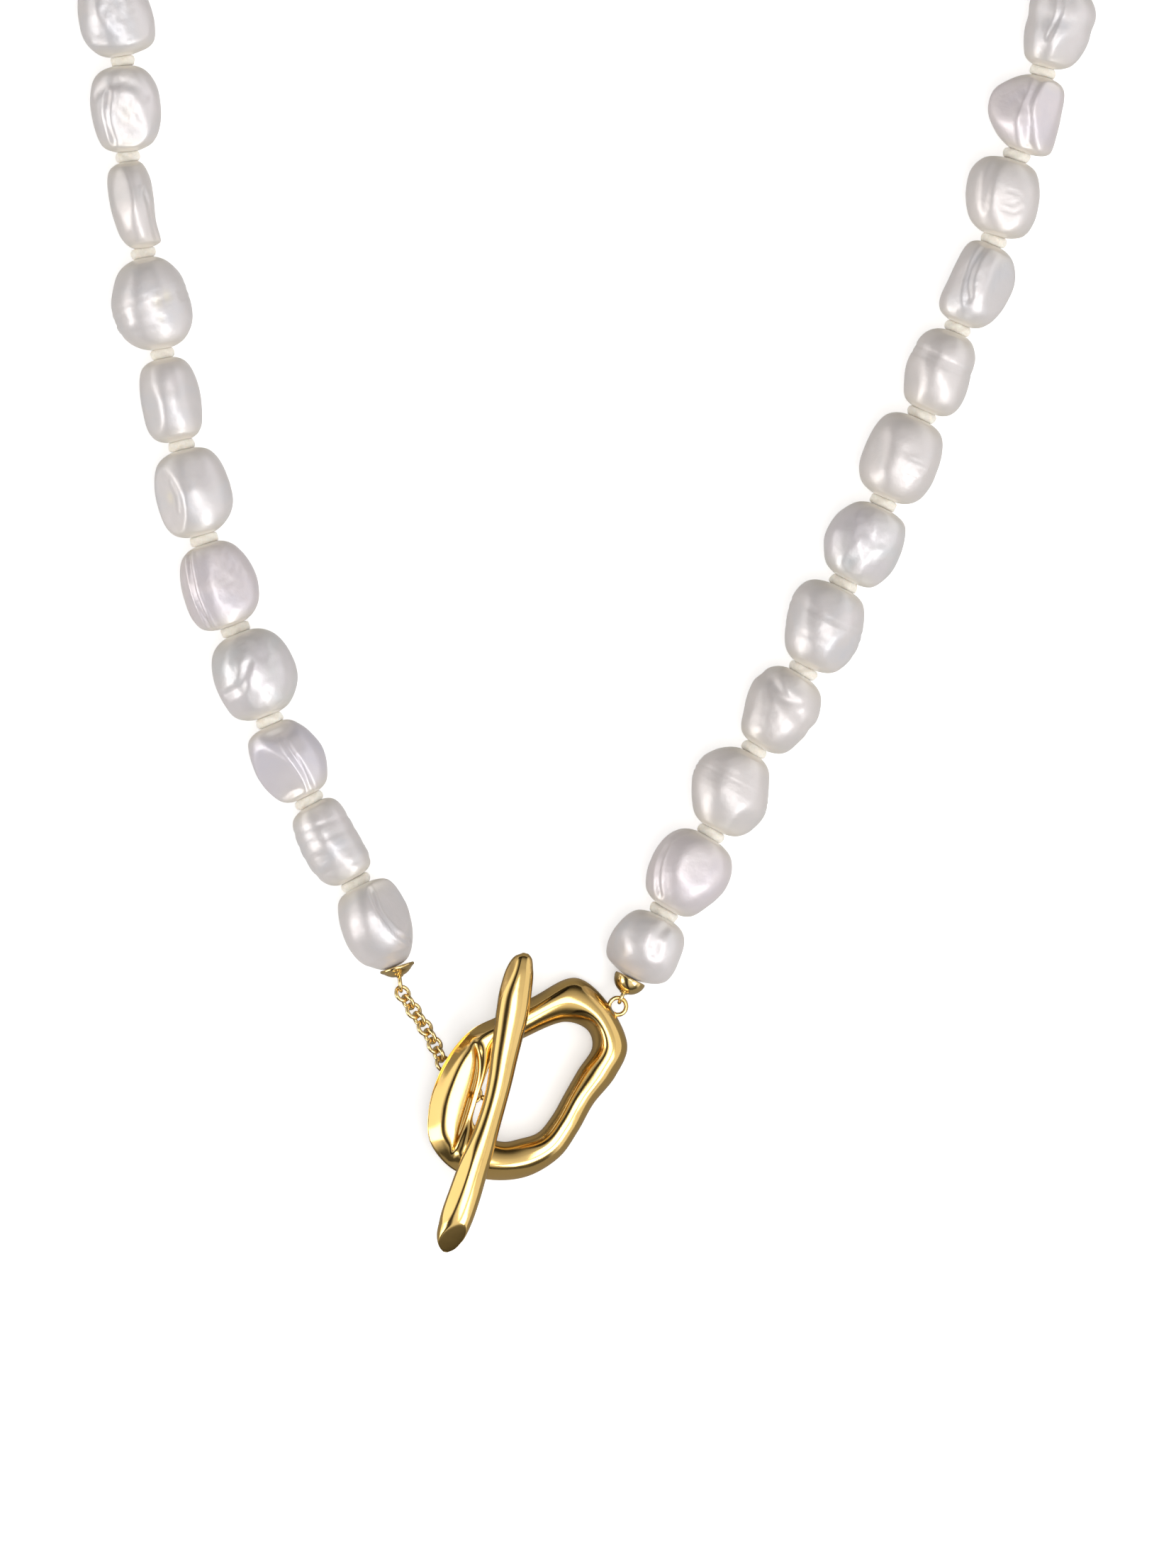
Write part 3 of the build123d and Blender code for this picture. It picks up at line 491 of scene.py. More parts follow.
def crinkle(q, seed, centre, r, amp, turn):
    """fine folds that run out across one face"""
    n = unit(centre)
    r0 = np.linalg.norm(q, axis=1, keepdims=True)
    ang = np.arccos(np.clip((q / r0) @ n, -1, 1))
    c, s = math.cos(turn), math.sin(turn)
    a, b = q[:, 0] * c + q[:, 1] * s, -q[:, 0] * s + q[:, 1] * c
    val = np.array([1 - 2.2 * abs(noise.noise(Vector((x * 3.0 + seed, y * 10.0 + 2.0 * noise.noise(Vector((x * 2, y * 2, seed))), z)))) for x, y, z in zip(a, b, q[:, 2])])
    return q + q / r0 * (amp * val * np.exp(-((ang / r) ** 4)))[:, None]


# features by pearl, from the left end cap up, and from the right side of the nape down
SHAPES = {
    1: ("silver", [("facet", (0.74, 0.22, 0.63), 0.22, 1.0, 0.012), ("groove", [(0.30, 0.72, 0.7), (0.27, 0.2, 0.95), (0.42, -0.35, 0.85), (0.72, -0.75, 0.4)], 0.05, 0.030, 0.9),
                   ("bump", (-0.45, 0.15, 0.85), 0.5, 0.02), ("grain", 9.0, 0.004, (0.7, 0.1, 0.7), 0.5)]),
    2: ("silver", [("band", 0.42, 0.045, 0.018, 0.12), ("band", 0.12, 0.05, 0.014, 0.10), ("band", -0.22, 0.05, 0.016, 0.14), ("band", -0.34, 0.03, 0.010, 0.14), ("band", -0.58, 0.05, 0.018, 0.10),
                   ("facet", (0.78, 0.0, 0.6), 0.06, 0.9, 0.03), ("grain", 7.0, 0.006, (-0.1, -0.1, 1.0), 0.6)]),
    3: ("lilac", [("facet", (-0.62, -0.30, 0.72), 0.24, 1.0, 0.015), ("groove", [(0.10, 0.85, 0.5), (0.12, 0.3, 0.95), (0.22, -0.35, 0.9), (0.12, -0.85, 0.5)], 0.07, 0.040, 0.5),
                  ("facet", (0.2, 0.75, 0.6), 0.08, 0.9, 0.03)]),
    4: ("green", [("bump", (0.35, 0.15, 0.9), 0.30, 0.035), ("bump", (-0.45, 0.35, 0.8), 0.28, 0.030), ("bump", (-0.1, -0.45, 0.85), 0.30, 0.025), ("bump", (0.55, -0.45, 0.6), 0.25, -0.035),
                  ("groove", [(-0.75, -0.2, 0.6), (-0.3, -0.1, 0.95), (0.05, 0.25, 0.95)], 0.08, 0.022, 0.3), ("crinkle", (0.2, 0.0, 0.95), 0.8, 0.012, -0.6), ("grain", 4.0, 0.012, (0, 0, 1), 1.2)]),
    5: ("rose", [("groove", [(-0.35, 0.85, 0.4), (-0.62, 0.3, 0.75), (-0.66, -0.2, 0.75), (-0.45, -0.8, 0.45)], 0.055, 0.045, 0.7), ("facet", (0.30, 0.0, 0.95), 0.10, 0.9, 0.04),
                 ("crinkle", (0.36, 0.0, 0.93), 0.62, 0.022, 0.9)]),
    6: ("silver", [("facet", (-0.80, -0.05, 0.60), 0.20, 1.0, 0.012), ("groove", [(-0.55, 0.35, 0.75), (-0.48, 0.0, 0.88), (-0.52, -0.35, 0.78)], 0.05, -0.012, 0.0), ("stain", (-0.74, 0.0, 0.66), 0.16, 0.8),
                   ("grain", 11.0, 0.006, (-0.74, 0.0, 0.66), 0.22), ("bump", (0.45, -0.1, 0.85), 0.5, 0.012)]),
    7: ("silver", [("facet", (-0.74, -0.05, 0.67), 0.06, 0.9, 0.03), ("facet", (0.80, -0.1, 0.6), 0.06, 0.9, 0.03), ("band", 0.0, 0.5, 0.012, 0.0)]),
    8: ("silver", [("band", -0.02, 0.035, 0.020, -0.18), ("band", -0.13, 0.03, 0.016, -0.16), ("band", 0.14, 0.03, 0.010, -0.16), ("bump", (0.06, 0.00, 1.0), 0.07, -0.030), ("bump", (0.22, 0.02, 0.95), 0.07, -0.034),
                   ("bump", (0.38, 0.06, 0.9), 0.07, -0.034), ("bump", (0.52, 0.10, 0.8), 0.08, -0.030), ("bump", (0.10, -0.30, 0.95), 0.06, -0.030), ("bump", (0.22, -0.36, 0.9), 0.05, -0.026), ("facet", (0.62, 0.5, 0.6), 0.06, 0.9, 0.03), ("band", -0.5, 0.04, 0.012, 0.0, -1),
                   ("stain", (0.15, 0.0, 1.0), 0.13, 0.7), ("stain", (0.42, 0.07, 0.9), 0.13, 0.8), ("stain", (0.15, -0.33, 0.92), 0.10, 0.5), ("grain", 12.0, 0.010, (0.3, 0.03, 0.95), 0.26)]),
    9: ("cream", [("groove", [(0.55, 0.15, 0.8), (0.66, -0.2, 0.72), (0.66, -0.6, 0.5), (0.78, -0.95, 0.3)], 0.09, 0.028, 0.5), ("bump", (0.9, -0.8, 0.25), 0.22, 0.10), ("facet", (-0.4, 0.2, 0.9), 0.05, 0.95, 0.05),
                  ("bump", (0.72, 0.05, 0.65), 0.16, 0.02)]),
    10: ("silver", [("facet", (0.02, -0.22, 0.97), 0.11, 1.0, 0.022), ("groove", [(-0.75, 0.30, 0.55), (-0.35, 0.46, 0.8), (0.15, 0.48, 0.86), (0.6, 0.22, 0.72)], 0.09, 0.022, 0.35),
                    ("groove", [(-0.42, 0.30, 0.85), (-0.52, -0.15, 0.82), (-0.34, -0.62, 0.68)], 0.06, 0.018, 0.8), ("crinkle", (0.04, -0.18, 0.97), 0.46, 0.020, 1.3), ("grain", 10.0, 0.014, (0.02, -0.1, 1.0), 0.55),
                    ("grain", 8.0, 0.010, (0.0, 0.7, 0.7), 0.4), ("bump", (0.85, 0.1, 0.5), 0.2, 0.03), ("stain", (0.05, -0.15, 1.0), 0.24, 0.35)]),
    11: ("silver", [("facet", (0.10, 0.05, 0.98), 0.09, 0.95, 0.03), ("groove", [(-0.7, -0.55, 0.5), (0.0, -0.62, 0.78), (0.75, -0.5, 0.5)], 0.08, -0.020, 0.0), ("bump", (0.85, -0.25, 0.3), 0.3, 0.03), ("crinkle", (0.12, 0.1, 0.98), 0.6, 0.018, 0.7),
                    ("grain", 9.0, 0.010, (0, 0, 1), 0.8)]),
    31: ("silver", [("band", 0.05, 0.20, 0.035, 0.0), ("groove", [(-0.2, 0.8, 0.5), (0.05, 0.3, 0.95), (-0.1, -0.3, 0.95)], 0.06, 0.022, 0.4), ("facet", (0.6, -0.4, 0.7), 0.07, 0.9, 0.03)]),
    32: ("rose", [("groove", [(0.0, 0.75, 0.65), (-0.12, 0.2, 0.95), (0.05, -0.25, 0.95), (0.25, -0.75, 0.6)], 0.14, 0.06, 0.35), ("facet", (0.62, 0.15, 0.75), 0.14, 0.95, 0.025),
                  ("facet", (-0.62, 0.25, 0.7), 0.10, 0.95, 0.03), ("bump", (0.32, -0.72, 0.65), 0.10, -0.035), ("grain", 6.5, 0.010, (0.1, 0.3, 0.9), 0.7)]),
    33: ("cream", [("facet", (0.22, -0.06, 0.97), 0.10, 1.0, 0.025), ("groove", [(0.05, 0.18, 1.0), (0.45, 0.10, 0.85), (0.35, -0.05, 0.9), (0.12, -0.16, 0.95)], 0.035, 0.010, 0.4),
                   ("groove", [(-0.02, -0.28, 0.9), (0.35, -0.30, 0.85), (0.55, -0.1, 0.8)], 0.035, 0.009, 0.4), ("groove", [(-0.35, 0.62, 0.6), (-0.5, 0.2, 0.85), (-0.45, -0.3, 0.8)], 0.10, 0.018, 0.2), ("grain", 7.0, 0.005, (0.3, -0.1, 0.9), 0.5)]),
    34: ("silver", [("groove", [(-0.05, 0.85, 0.45), (-0.28, 0.4, 0.8), (-0.25, -0.05, 0.95), (-0.05, -0.35, 0.95)], 0.10, 0.034, 0.35), ("facet", (0.72, 0.15, 0.68), 0.10, 0.95, 0.03), ("bump", (-0.6, -0.55, 0.6), 0.3, 0.03),
                    ("grain", 6.0, 0.008, (0, 0, 1), 0.9)]),
    35: ("cream", [("band", 0.26, 0.035, 0.020, 0.06), ("band", 0.14, 0.028, 0.013, 0.05), ("band", 0.20, 0.22, 0.018, 0.0), ("bump", (0.85, -0.1, 0.3), 0.25, -0.02), ("facet", (-0.7, -0.4, 0.6), 0.06, 0.9, 0.03)]),
    36: ("cream", [("groove", [(0.22, 0.02, 0.95), (0.62, 0.06, 0.75)], 0.035, 0.016, 0.5), ("groove", [(0.18, -0.10, 0.95), (0.66, -0.07, 0.75)], 0.035, 0.018, 0.5), ("groove", [(0.20, -0.22, 0.95), (0.60, -0.19, 0.78)], 0.03, 0.014, 0.5),
                   ("facet", (-0.72, -0.1, 0.68), 0.05, 0.9, 0.03)]),
    37: ("green", [("bump", (0.35, 0.2, 0.9), 0.35, -0.035), ("groove", [(-0.3, 0.55, 0.75), (0.1, 0.05, 1.0), (-0.1, -0.5, 0.85)], 0.12, 0.020, 0.3), ("facet", (0.70, -0.35, 0.6), 0.07, 0.9, 0.03), ("grain", 5.0, 0.012, (0.1, 0.1, 1), 1.0)]),
    38: ("silver", [("band", 0.20, 0.035, 0.013, 0.03), ("band", 0.02, 0.03, 0.009, 0.02), ("band", -0.3, 0.05, 0.007, 0.0), ("facet", (0.75, -0.25, 0.6), 0.06, 0.9, 0.03), ("facet", (-0.78, -0.1, 0.6), 0.05, 0.9, 0.03)]),
    39: ("cream", [("bump", (-0.85, 0.55, 0.35), 0.30, -0.07), ("band", 0.25, 0.16, 0.035, 0.25), ("groove", [(-0.6, 0.5, 0.6), (-0.1, 0.3, 0.95), (0.4, 0.35, 0.85)], 0.09, 0.022, 0.3), ("grain", 5.0, 0.010, (0, 0, 1), 0.9)]),
    40: ("cream", [("band", 0.20, 0.035, 0.013, 0.0), ("band", 0.08, 0.030, 0.014, 0.0), ("band", -0.03, 0.028, 0.009, 0.0), ("band", 0.32, 0.03, 0.008, 0.0), ("facet", (0.7, -0.4, 0.6), 0.06, 0.9, 0.03)]),
    41: ("rose", [("groove", [(-0.60, 0.70, 0.5), (-0.76, 0.25, 0.6), (-0.66, -0.25, 0.7), (-0.30, -0.7, 0.6)], 0.07, 0.022, 0.5), ("facet", (0.18, 0.12, 0.98), 0.07, 0.95, 0.04), ("bump", (0.7, 0.3, 0.6), 0.3, 0.015),
                  ("grain", 8.0, 0.005, (0.3, 0.2, 0.95), 0.4)]),
    42: ("silver", [("groove", [(0.30, 0.8, 0.5), (0.16, 0.3, 0.95), (0.26, -0.1, 0.95)], 0.12, 0.030, 0.3), ("bump", (-0.35, 0.35, 0.85), 0.35, 0.020), ("bump", (0.45, -0.45, 0.75), 0.32, 0.020), ("facet", (-0.7, -0.45, 0.5), 0.06, 0.9, 0.03)]),
}
HIDDEN = ["silver", "rose", "cream", "green", "silver", "lilac"]


def hidden_shape(i):
    rng = np.random.default_rng(400 + i)
    ops = []
    for _ in range(int(rng.integers(1, 4))):
        ops.append(("bump", tuple(rng.normal(size=3) * (1, 0.6, 1)), float(rng.uniform(0.25, 0.5)), float(rng.uniform(-0.04, 0.03))))
    if rng.random() < 0.5:
        a0 = float(rng.uniform(-0.4, 0.3))
        ops.append(("band", a0, 0.04, 0.018, 0.08))
        ops.append(("band", a0 + 0.13, 0.035, 0.012, 0.08))
    if rng.random() < 0.6:
        ops.append(("facet", (float(rng.choice([-0.75, 0.75])), float(rng.uniform(-0.3, 0.3)), float(rng.uniform(0.4, 0.8))), float(rng.uniform(0.08, 0.2)), 1.0, 0.02))
    if rng.random() < 0.5:
        x = float(rng.uniform(-0.4, 0.4))
        ops.append(("groove", [(x, 0.7, 0.6), (x + 0.15, 0.0, 0.95), (x - 0.1, -0.6, 0.7)], 0.08, 0.03, 0.4))
    return HIDDEN[i % len(HIDDEN)], ops


def pearl(i):
    height, widths = PEARLS[i]
    p, q = np.array(KNOTS[i]), np.array(KNOTS[i + 1])
    flat = math.hypot(q[0] - p[0], q[1] - p[1])
    t = np.array([(q[0] - p[0]) / flat, (q[1] - p[1]) / flat, 0])
    left = np.array([-t[1], t[0], 0])
    first, last = i == 0, i == len(PEARLS) - 1
    a0, a1 = (0.06 if first else 0.45), (0.06 if last else 0.45)
    s = [a0] + STATIONS + [flat / 2] + [flat - d for d in STATIONS[::-1]] + [flat - a1]
    mid_z = (p[2] + q[2]) / 2
    rows = []
    for at, (wl, wr) in zip(s, widths):
        rows.append([at, wl, wr])
    w0, w8 = widths[0], widths[8]
    # rounded ends that turn in to the drill hole
    head = [[a0 - 0.02, 0.36, 0.36], [a0 + 0.0, 0.52 * w0[0], 0.52 * w0[1]], [a0 + 0.14, 0.81 * w0[0], 0.81 * w0[1]]]
    tail = [[flat - a1 - 0.14, 0.81 * w8[0], 0.81 * w8[1]], [flat - a1, 0.52 * w8[0], 0.52 * w8[1]], [flat - a1 + 0.02, 0.36, 0.36]]
    full = np.array(head + rows[1:8] + tail)
    curve = spline(full, 64, power=0.6)
    for _ in range(24):
        curve[2:-2] = curve[2:-2] * 0.5 + (curve[1:-3] + curve[3:-1]) * 0.25
    u = np.clip(np.abs(2 * curve[:, 0] / flat - 1), 0, 1)
    end = 1.2
    v = end + (height - end) * np.sqrt(1 - u**2.05)
    wide = (curve[:, 1] + curve[:, 2]) / 2
    # near the ends the height follows the same rounding as the width
    for k in range(len(curve)):
        d0 = min(curve[k, 0] - (a0 - 0.02), (flat - a1 + 0.02) - curve[k, 0])
        v[k] = min(v[k], wide[k] * 1.15) if d0 < 0.5 else v[k]
    if first:
        k0 = curve[:, 0] < 1.2
        v[k0] = np.minimum(v[k0], wide[k0])
    if last:
        k0 = curve[:, 0] > flat - 1.2
        v[k0] = np.minimum(v[k0], wide[k0])
    axis_z = p[2] + (q[2] - p[2]) * curve[:, 0] / flat
    zc = axis_z + (height - mid_z) * (1 - u**2.05)
    zc = np.maximum(zc, v + 0.03)
    nv = 88
    th = 2 * np.pi * np.arange(nv) / nv
    e = 2 / 2.04
    ct = np.sign(np.cos(th)) * np.abs(np.cos(th)) ** e
    st = np.sign(np.sin(th)) * np.abs(np.sin(th)) ** e
    across = (curve[:, 1] - curve[:, 2])[:, None] / 2 + wide[:, None] * ct[None, :]      # to the left of the run
    along = np.repeat(curve[:, 0][:, None], nv, 1) - flat / 2
    up = zc[:, None] + v[:, None] * st[None, :]
    right_side = i >= 21
    sign = 1 if right_side else -1                 # across and along as the strand is seen from above
    big = wide.max()
    Q = np.stack([sign * across / big, -sign * along / (flat / 2), (up - mid_z - (height - mid_z)) / height], -1).reshape(-1, 3)
    key = i + 1
    tint, ops = SHAPES[key] if key in SHAPES else hidden_shape(i)
    ends = smooth((np.abs(Q[:, 1]) - 0.70) / 0.25)
    base = Q.copy()
    Q = grain(Q, key, 1.25, 0.045)
    Q = grain(Q, key + 50, 2.7, 0.012)
    for op in ops:
        kind = op[0]
        if kind in ("groove", "band"):
            op = (*op[:3], op[3] * 1.5, *op[4:])
        if kind == "facet":
            Q = facet(Q, op[1], op[2], *op[3:])
        elif kind == "bump":
            Q = bump(Q, *op[1:])
        elif kind == "groove":
            Q = groove(Q, op[1], op[2], op[3], *op[4:])
        elif kind == "band":
            Q = band(Q, *op[1:])
        elif kind == "crinkle":
            Q = crinkle(Q, key, *op[1:])
        elif kind == "grain":
            Q = grain(Q, key + 90, op[1], op[2], (op[3], op[4]), 2)
    stain = np.zeros(len(Q))
    for op in ops:
        if op[0] == "stain":
            ang = np.arccos(np.clip((Q / np.linalg.norm(Q, axis=1, keepdims=True)) @ unit(op[1]), -1, 1))
            stain = np.maximum(stain, op[3] * np.exp(-((ang / op[2]) ** 2)))
    Q = base * ends[:, None] + Q * (1 - ends[:, None])
    ac, al, h = sign * Q[:, 0] * big, -sign * Q[:, 1] * flat / 2 + flat / 2, Q[:, 2] * height + height
    P = p[None, :] * (1, 1, 0) + t * al[:, None] + left * ac[:, None]
    P[:, 2] = np.clip(h, 0.0, CAD_HI[2] / MM)
    grid = P.reshape(len(curve), nv, 3)
    verts, faces = skin(grid)
    s_all = np.concatenate([np.repeat(curve[:, 0], nv), [curve[0, 0], curve[-1, 0]]])
    d_end = np.minimum(s_all - a0, flat - a1 - s_all)
    tips = np.exp(-((np.maximum(d_end, 0) / 0.95) ** 1.5)) * 0.8
    if first:
        tips = np.where(s_all < flat / 2, 0, tips)
    if last:
        tips = np.where(s_all > flat / 2, 0, tips)
    tips[:len(stain)] = np.maximum(tips[:len(stain)], stain)
    ob = mesh_piece(f"nacre_pearl_{key:02d}", verts, faces, PEARL_MATS[tint], tips)
    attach(ob, f"bead_{key:02d}")
    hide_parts(f"pearl_{key:02d}")
    return ob


for i in range(len(PEARLS)):
    pearl(i)


# ---------------------------------------------------------------- silk knots
def knot(i):
    a, b, c = np.array(KNOTS[i - 1]), np.array(KNOTS[i]), np.array(KNOTS[i + 1])
    d = unit(unit(b - a) + unit(c - b))
    e1 = unit(np.cross(d, (0, 0, 1)))
    e2 = np.cross(d, e1)
    wl = (PEARLS[i - 1][1][8][0] + PEARLS[i - 1][1][8][1] + PEARLS[i][1][0][0] + PEARLS[i][1][0][1]) / 4
    rad = min(1.50, max(1.22, 0.72 * wl))
    rows = np.array([
        [-1.05, 0.30], [-0.66, 0.30], [-0.56, 0.45], [-0.52, 0.76 * rad], [-0.40, 0.93 * rad], [-0.14, 1.0 * rad],
        [0.14, 1.0 * rad], [0.40, 0.93 * rad], [0.52, 0.76 * rad], [0.56, 0.45], [0.66, 0.30], [1.05, 0.30],
    ])
    prof = spline(rows, 44, power=0.6)
    m = 72
    grid = np.zeros((len(prof), m, 3))
    twist = 0.9 if i % 2 else -0.9
    for r, (s, w) in enumerate(prof):
        body = smooth((w - 0.4) / (0.5 * rad))
        for j in range(m):
            th = 2 * math.pi * j / m
            wrap = 0.035 * math.sin(6 * th + twist * 5.0 * s + i) + 0.05 * math.sin(2 * th + i * 1.7)
            w2 = w * (1 + body * wrap) + body * 0.05 * noise.noise(Vector((math.cos(th) * 2, math.sin(th) * 2, i * 1.3 + s)))
            shift = body * 0.05 * math.sin(3 * th + i)
            grid[r, j] = b + d * (s + shift * 0.5) + (e1 * math.cos(th) + e2 * math.sin(th)) * w2
    ob = mesh_piece(f"silk_knot_{i:02d}", *skin(grid), SILK)
    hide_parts("silk_thread")
    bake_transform(ob)
    return ob


for i in range(1, len(KNOTS) - 1):
    knot(i)


# ---------------------------------------------------------------- end caps
def lathe(origin, axis, profile, m=96):
    axis = unit(axis)
    e1 = unit(np.cross(axis, (0, 0, 1)))
    e2 = np.cross(axis, e1)
    grid = np.zeros((len(profile), m, 3))
    for r, (w, s) in enumerate(profile):
        for j in range(m):
            th = 2 * math.pi * j / m
            grid[r, j] = np.asarray(origin) + axis * s + (e1 * math.cos(th) + e2 * math.sin(th)) * max(w, 1e-4)
    return skin(grid)


def eye(start, end, wire):
    e0, e1 = np.array([*start, CLASP_Z]), np.array([*end, CLASP_Z])
    along = e1 - e0
    return torus((e0 + e1) / 2, (-along[1], along[0], 0), np.linalg.norm(along) / 2, wire, 72, 24)


ld = np.array([*LEFT_CAP_DIR, 0.0])
rim = np.array([KNOTS[0][0], KNOTS[0][1], CLASP_Z])
saucer = spline([
    (0.02, 0.70), (0.60, 0.66), (1.10, 0.50), (1.42, 0.24), (1.52, 0.08), (1.60, 0.00), (1.74, 0.00), (1.815, 0.10), (1.80, 0.24),
    (1.68, 0.33), (1.50, 0.44), (1.22, 0.68), (0.80, 0.93), (0.46, 1.03), (0.30, 1.06), (0.02, 1.08),
], 90, power=0.6)
eye_start = rim[:2] + ld[:2] * (1.08 - 0.17)
left_cap = mesh_piece("saucer_cap_left", *join([lathe(rim, ld, saucer), eye(eye_start, LEFT_EYE_END, LINK_W),
                                                torus(rim + ld * 1.05, ld, 0.26, 0.12, 40, 16)]), GOLD_SMALL)
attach(left_cap, "bead_01")
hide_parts("left_end_cap")

last = np.array(KNOTS[-1])
rd = unit([last[0] - KNOTS[-2][0], last[1] - KNOTS[-2][1], 0])
rim = np.array([last[0], last[1], CLASP_Z])
R = 1.68
dome = []
for k in range(14):                                    # inside of the cup, then its lip, then its outside
    a = math.radians(90 * k / 13)
    dome.append((1.18 * math.sin(a) + 0.01, 1.18 * math.cos(a) - 0.02))
dome += [(1.30, -0.04), (1.48, -0.05), (1.62, -0.02)]
for k in range(1, 22):
    a = math.radians(90 * k / 21)
    dome.append((R * math.cos(a) * 0.995 + 0.01, R * math.sin(a)))
dome = spline(dome, 110, power=0.7)
depth = R - 0.24
right_cap = mesh_piece("dome_cap_right", *join([lathe(rim, rd, dome), eye(rim[:2] + rd[:2] * depth, RIGHT_EYE_END, LINK_W),
                                                torus(rim + rd * 1.62, rd, 0.30, 0.12, 40, 16)]), GOLD_SMALL)
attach(right_cap, "bead_42")
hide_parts("right_end_cap")


# ---------------------------------------------------------------- rolo chain
inside = LINK_R - 2 * LINK_W - RUN
at = np.array(LEFT_EYE_END, float)
for k, deg in enumerate(LINKS):
    c = np.array([math.cos(math.radians(deg)), math.sin(math.radians(deg))])
    half = inside if k % 2 == 0 else LINK_R
    mid = at + c * half
    lie = math.radians(34 if k % 2 == 0 else 124)                     # the links lie over on their edges, each square to the next
    axis = (-c[1] * math.sin(lie), c[0] * math.sin(lie), math.cos(lie))
    ob = mesh_piece(f"rolo_link_{k + 1:02d}", *torus((mid[0], mid[1], CLASP_Z), axis, LINK_R, LINK_W, 72, 24), GOLD_SMALL)
    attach(ob, f"link_{k + 1:02d}")
    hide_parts(f"chain_link_{k + 1:02d}")
    at = at + c * 2 * half


# ---------------------------------------------------------------- toggle ring
table = np.array([[(o[0] + n[0]) / 2, (o[1] + n[1]) / 2, z, o[0], o[1], n[0], n[1], z, h] for o, n, z, h in RING])
#            0     1     2     3     4     5     6     7     8     9     10    11    12    13    14    15    16    17
BEV_OUT = [0.25, 0.10, 0.10, 0.30, 0.20, 0.12, 0.18, 0.40, 0.70, 0.80, 0.75, 0.55, 0.60, 0.85, 0.95, 0.90, 0.75, 0.50]
BEV_IN = [0.45, 0.70, 0.60, 0.30, 0.25, 0.30, 0.35, 0.35, 0.30, 0.30, 0.30, 0.15, 0.10, 0.10, 0.15, 0.20, 0.20, 0.25]
cols = np.hstack([table, np.array(BEV_OUT)[:, None], np.array(BEV_IN)[:, None]])
NU, NV = 432, 96
idx = np.linspace(0, 18, NU, endpoint=False)
cur = spline(cols, NU, closed=True, power=0.6, at=idx)
valley = spline([(-12.60, -77.9), (-12.20, -80.3), (-12.32, -82.0), (-12.95, -84.4), (-13.7, -86.9), (-14.45, -89.2), (-15.2, -91.0)], 90)
valley_lean = 1 / np.sqrt(1 + np.gradient(valley[:, 0], valley[:, 1]) ** 2)
th = 2 * np.pi * np.arange(NV) / NV
e = 2 / 2.12
ca = np.sign(np.cos(th)) * np.abs(np.cos(th)) ** e
sa = np.sign(np.sin(th)) * np.abs(np.sin(th)) ** e
grid = np.zeros((NU, NV, 3))
for k in range(NU):
    o, n = cur[k, 3:5], cur[k, 5:7]
    mid, halfw = (o + n) / 2, (o - n) / 2
    z0, h = cur[k, 7], cur[k, 8]
    bo, bi = cur[k, 9], cur[k, 10]
    blob = float(smooth((idx[k] - 9.6) / 1.2) * smooth((15.7 - idx[k]) / 1.2))
    xy = mid[None, :] + halfw[None, :] * ca[:, None]
    z = z0 + h * sa
    top = smooth((sa + 0.25) / 0.7)
    z = z - (0.35 + 0.65 * top) * bo * smooth((ca - 0.22) / 0.78)
    z = z - (0.25 + 0.75 * top) * bi * smooth((-ca - 0.05) / 0.95)
    if blob > 0:
        xv = np.interp(xy[:, 1], valley[::-1, 1], valley[::-1, 0])
        lean = np.interp(xy[:, 1], valley[::-1, 1], valley_lean[::-1])
        side = (xy[:, 0] - xv) * lean                                   # positive on the bar's side
        along = np.clip(np.minimum(xy[:, 1] + 91.0, -77.9 - xy[:, 1]) / 1.6, 0, 1)
        wv = np.where(side < 0, 0.34, 0.46)
        z = z - top * blob * smooth(along) * 0.36 * np.exp(-((side / wv) ** 2))
        floor_z = 3.03
        z = np.where(z < floor_z, z * (1 - blob) + floor_z * blob, z)
    z = np.maximum(z, 0.03)
    grid[k, :, :2] = xy
    grid[k, :, 2] = z
ring_loop = torus((*RING_LOOP_C, CLASP_Z), (0, 0, 1), 0.87, 0.22, 80, 24)
ring = mesh_piece("toggle_ring_polished", *join([skin(grid, closed=True), ring_loop]), GOLD)
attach(ring, "ring")
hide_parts("toggle_ring")

# ---------------------------------------------------------------- toggle bar
NU, NV = 300, 72
cur = spline(BAR, NU, power=0.55)
th = 2 * np.pi * np.arange(NV) / NV
e = 2 / 2.2
ca = np.sign(np.cos(th)) * np.abs(np.cos(th)) ** e
sa = np.sign(np.sin(th)) * np.abs(np.sin(th)) ** e
grid = np.zeros((NU, NV, 3))
for k in range(NU):
    x, y, z0, w, h = cur[k]
    d = unit(cur[min(k + 1, NU - 1), :2] - cur[max(k - 1, 0), :2])
    side = np.array([-d[1], d[0]])                    # to the right of the bar as it is seen from above
    xy = np.array([x, y])[None, :] + side[None, :] * (w * ca)[:, None]
    z = z0 + h * sa
    grid[k, :, :2] = xy
    grid[k, :, 2] = z
P = grid.reshape(-1, 3)


def cut(P, point, normal, w=0.03, k=0.97, below=None):
    n = unit(normal)
    x = (P - np.asarray(point)) @ n
    s = w * np.log1p(np.exp(np.clip(x / w, -40, 40)))
    if below is not None:
        s = s * smooth((below - P[:, 1]) / 3.5)
    return P - np.outer(k * s, n)


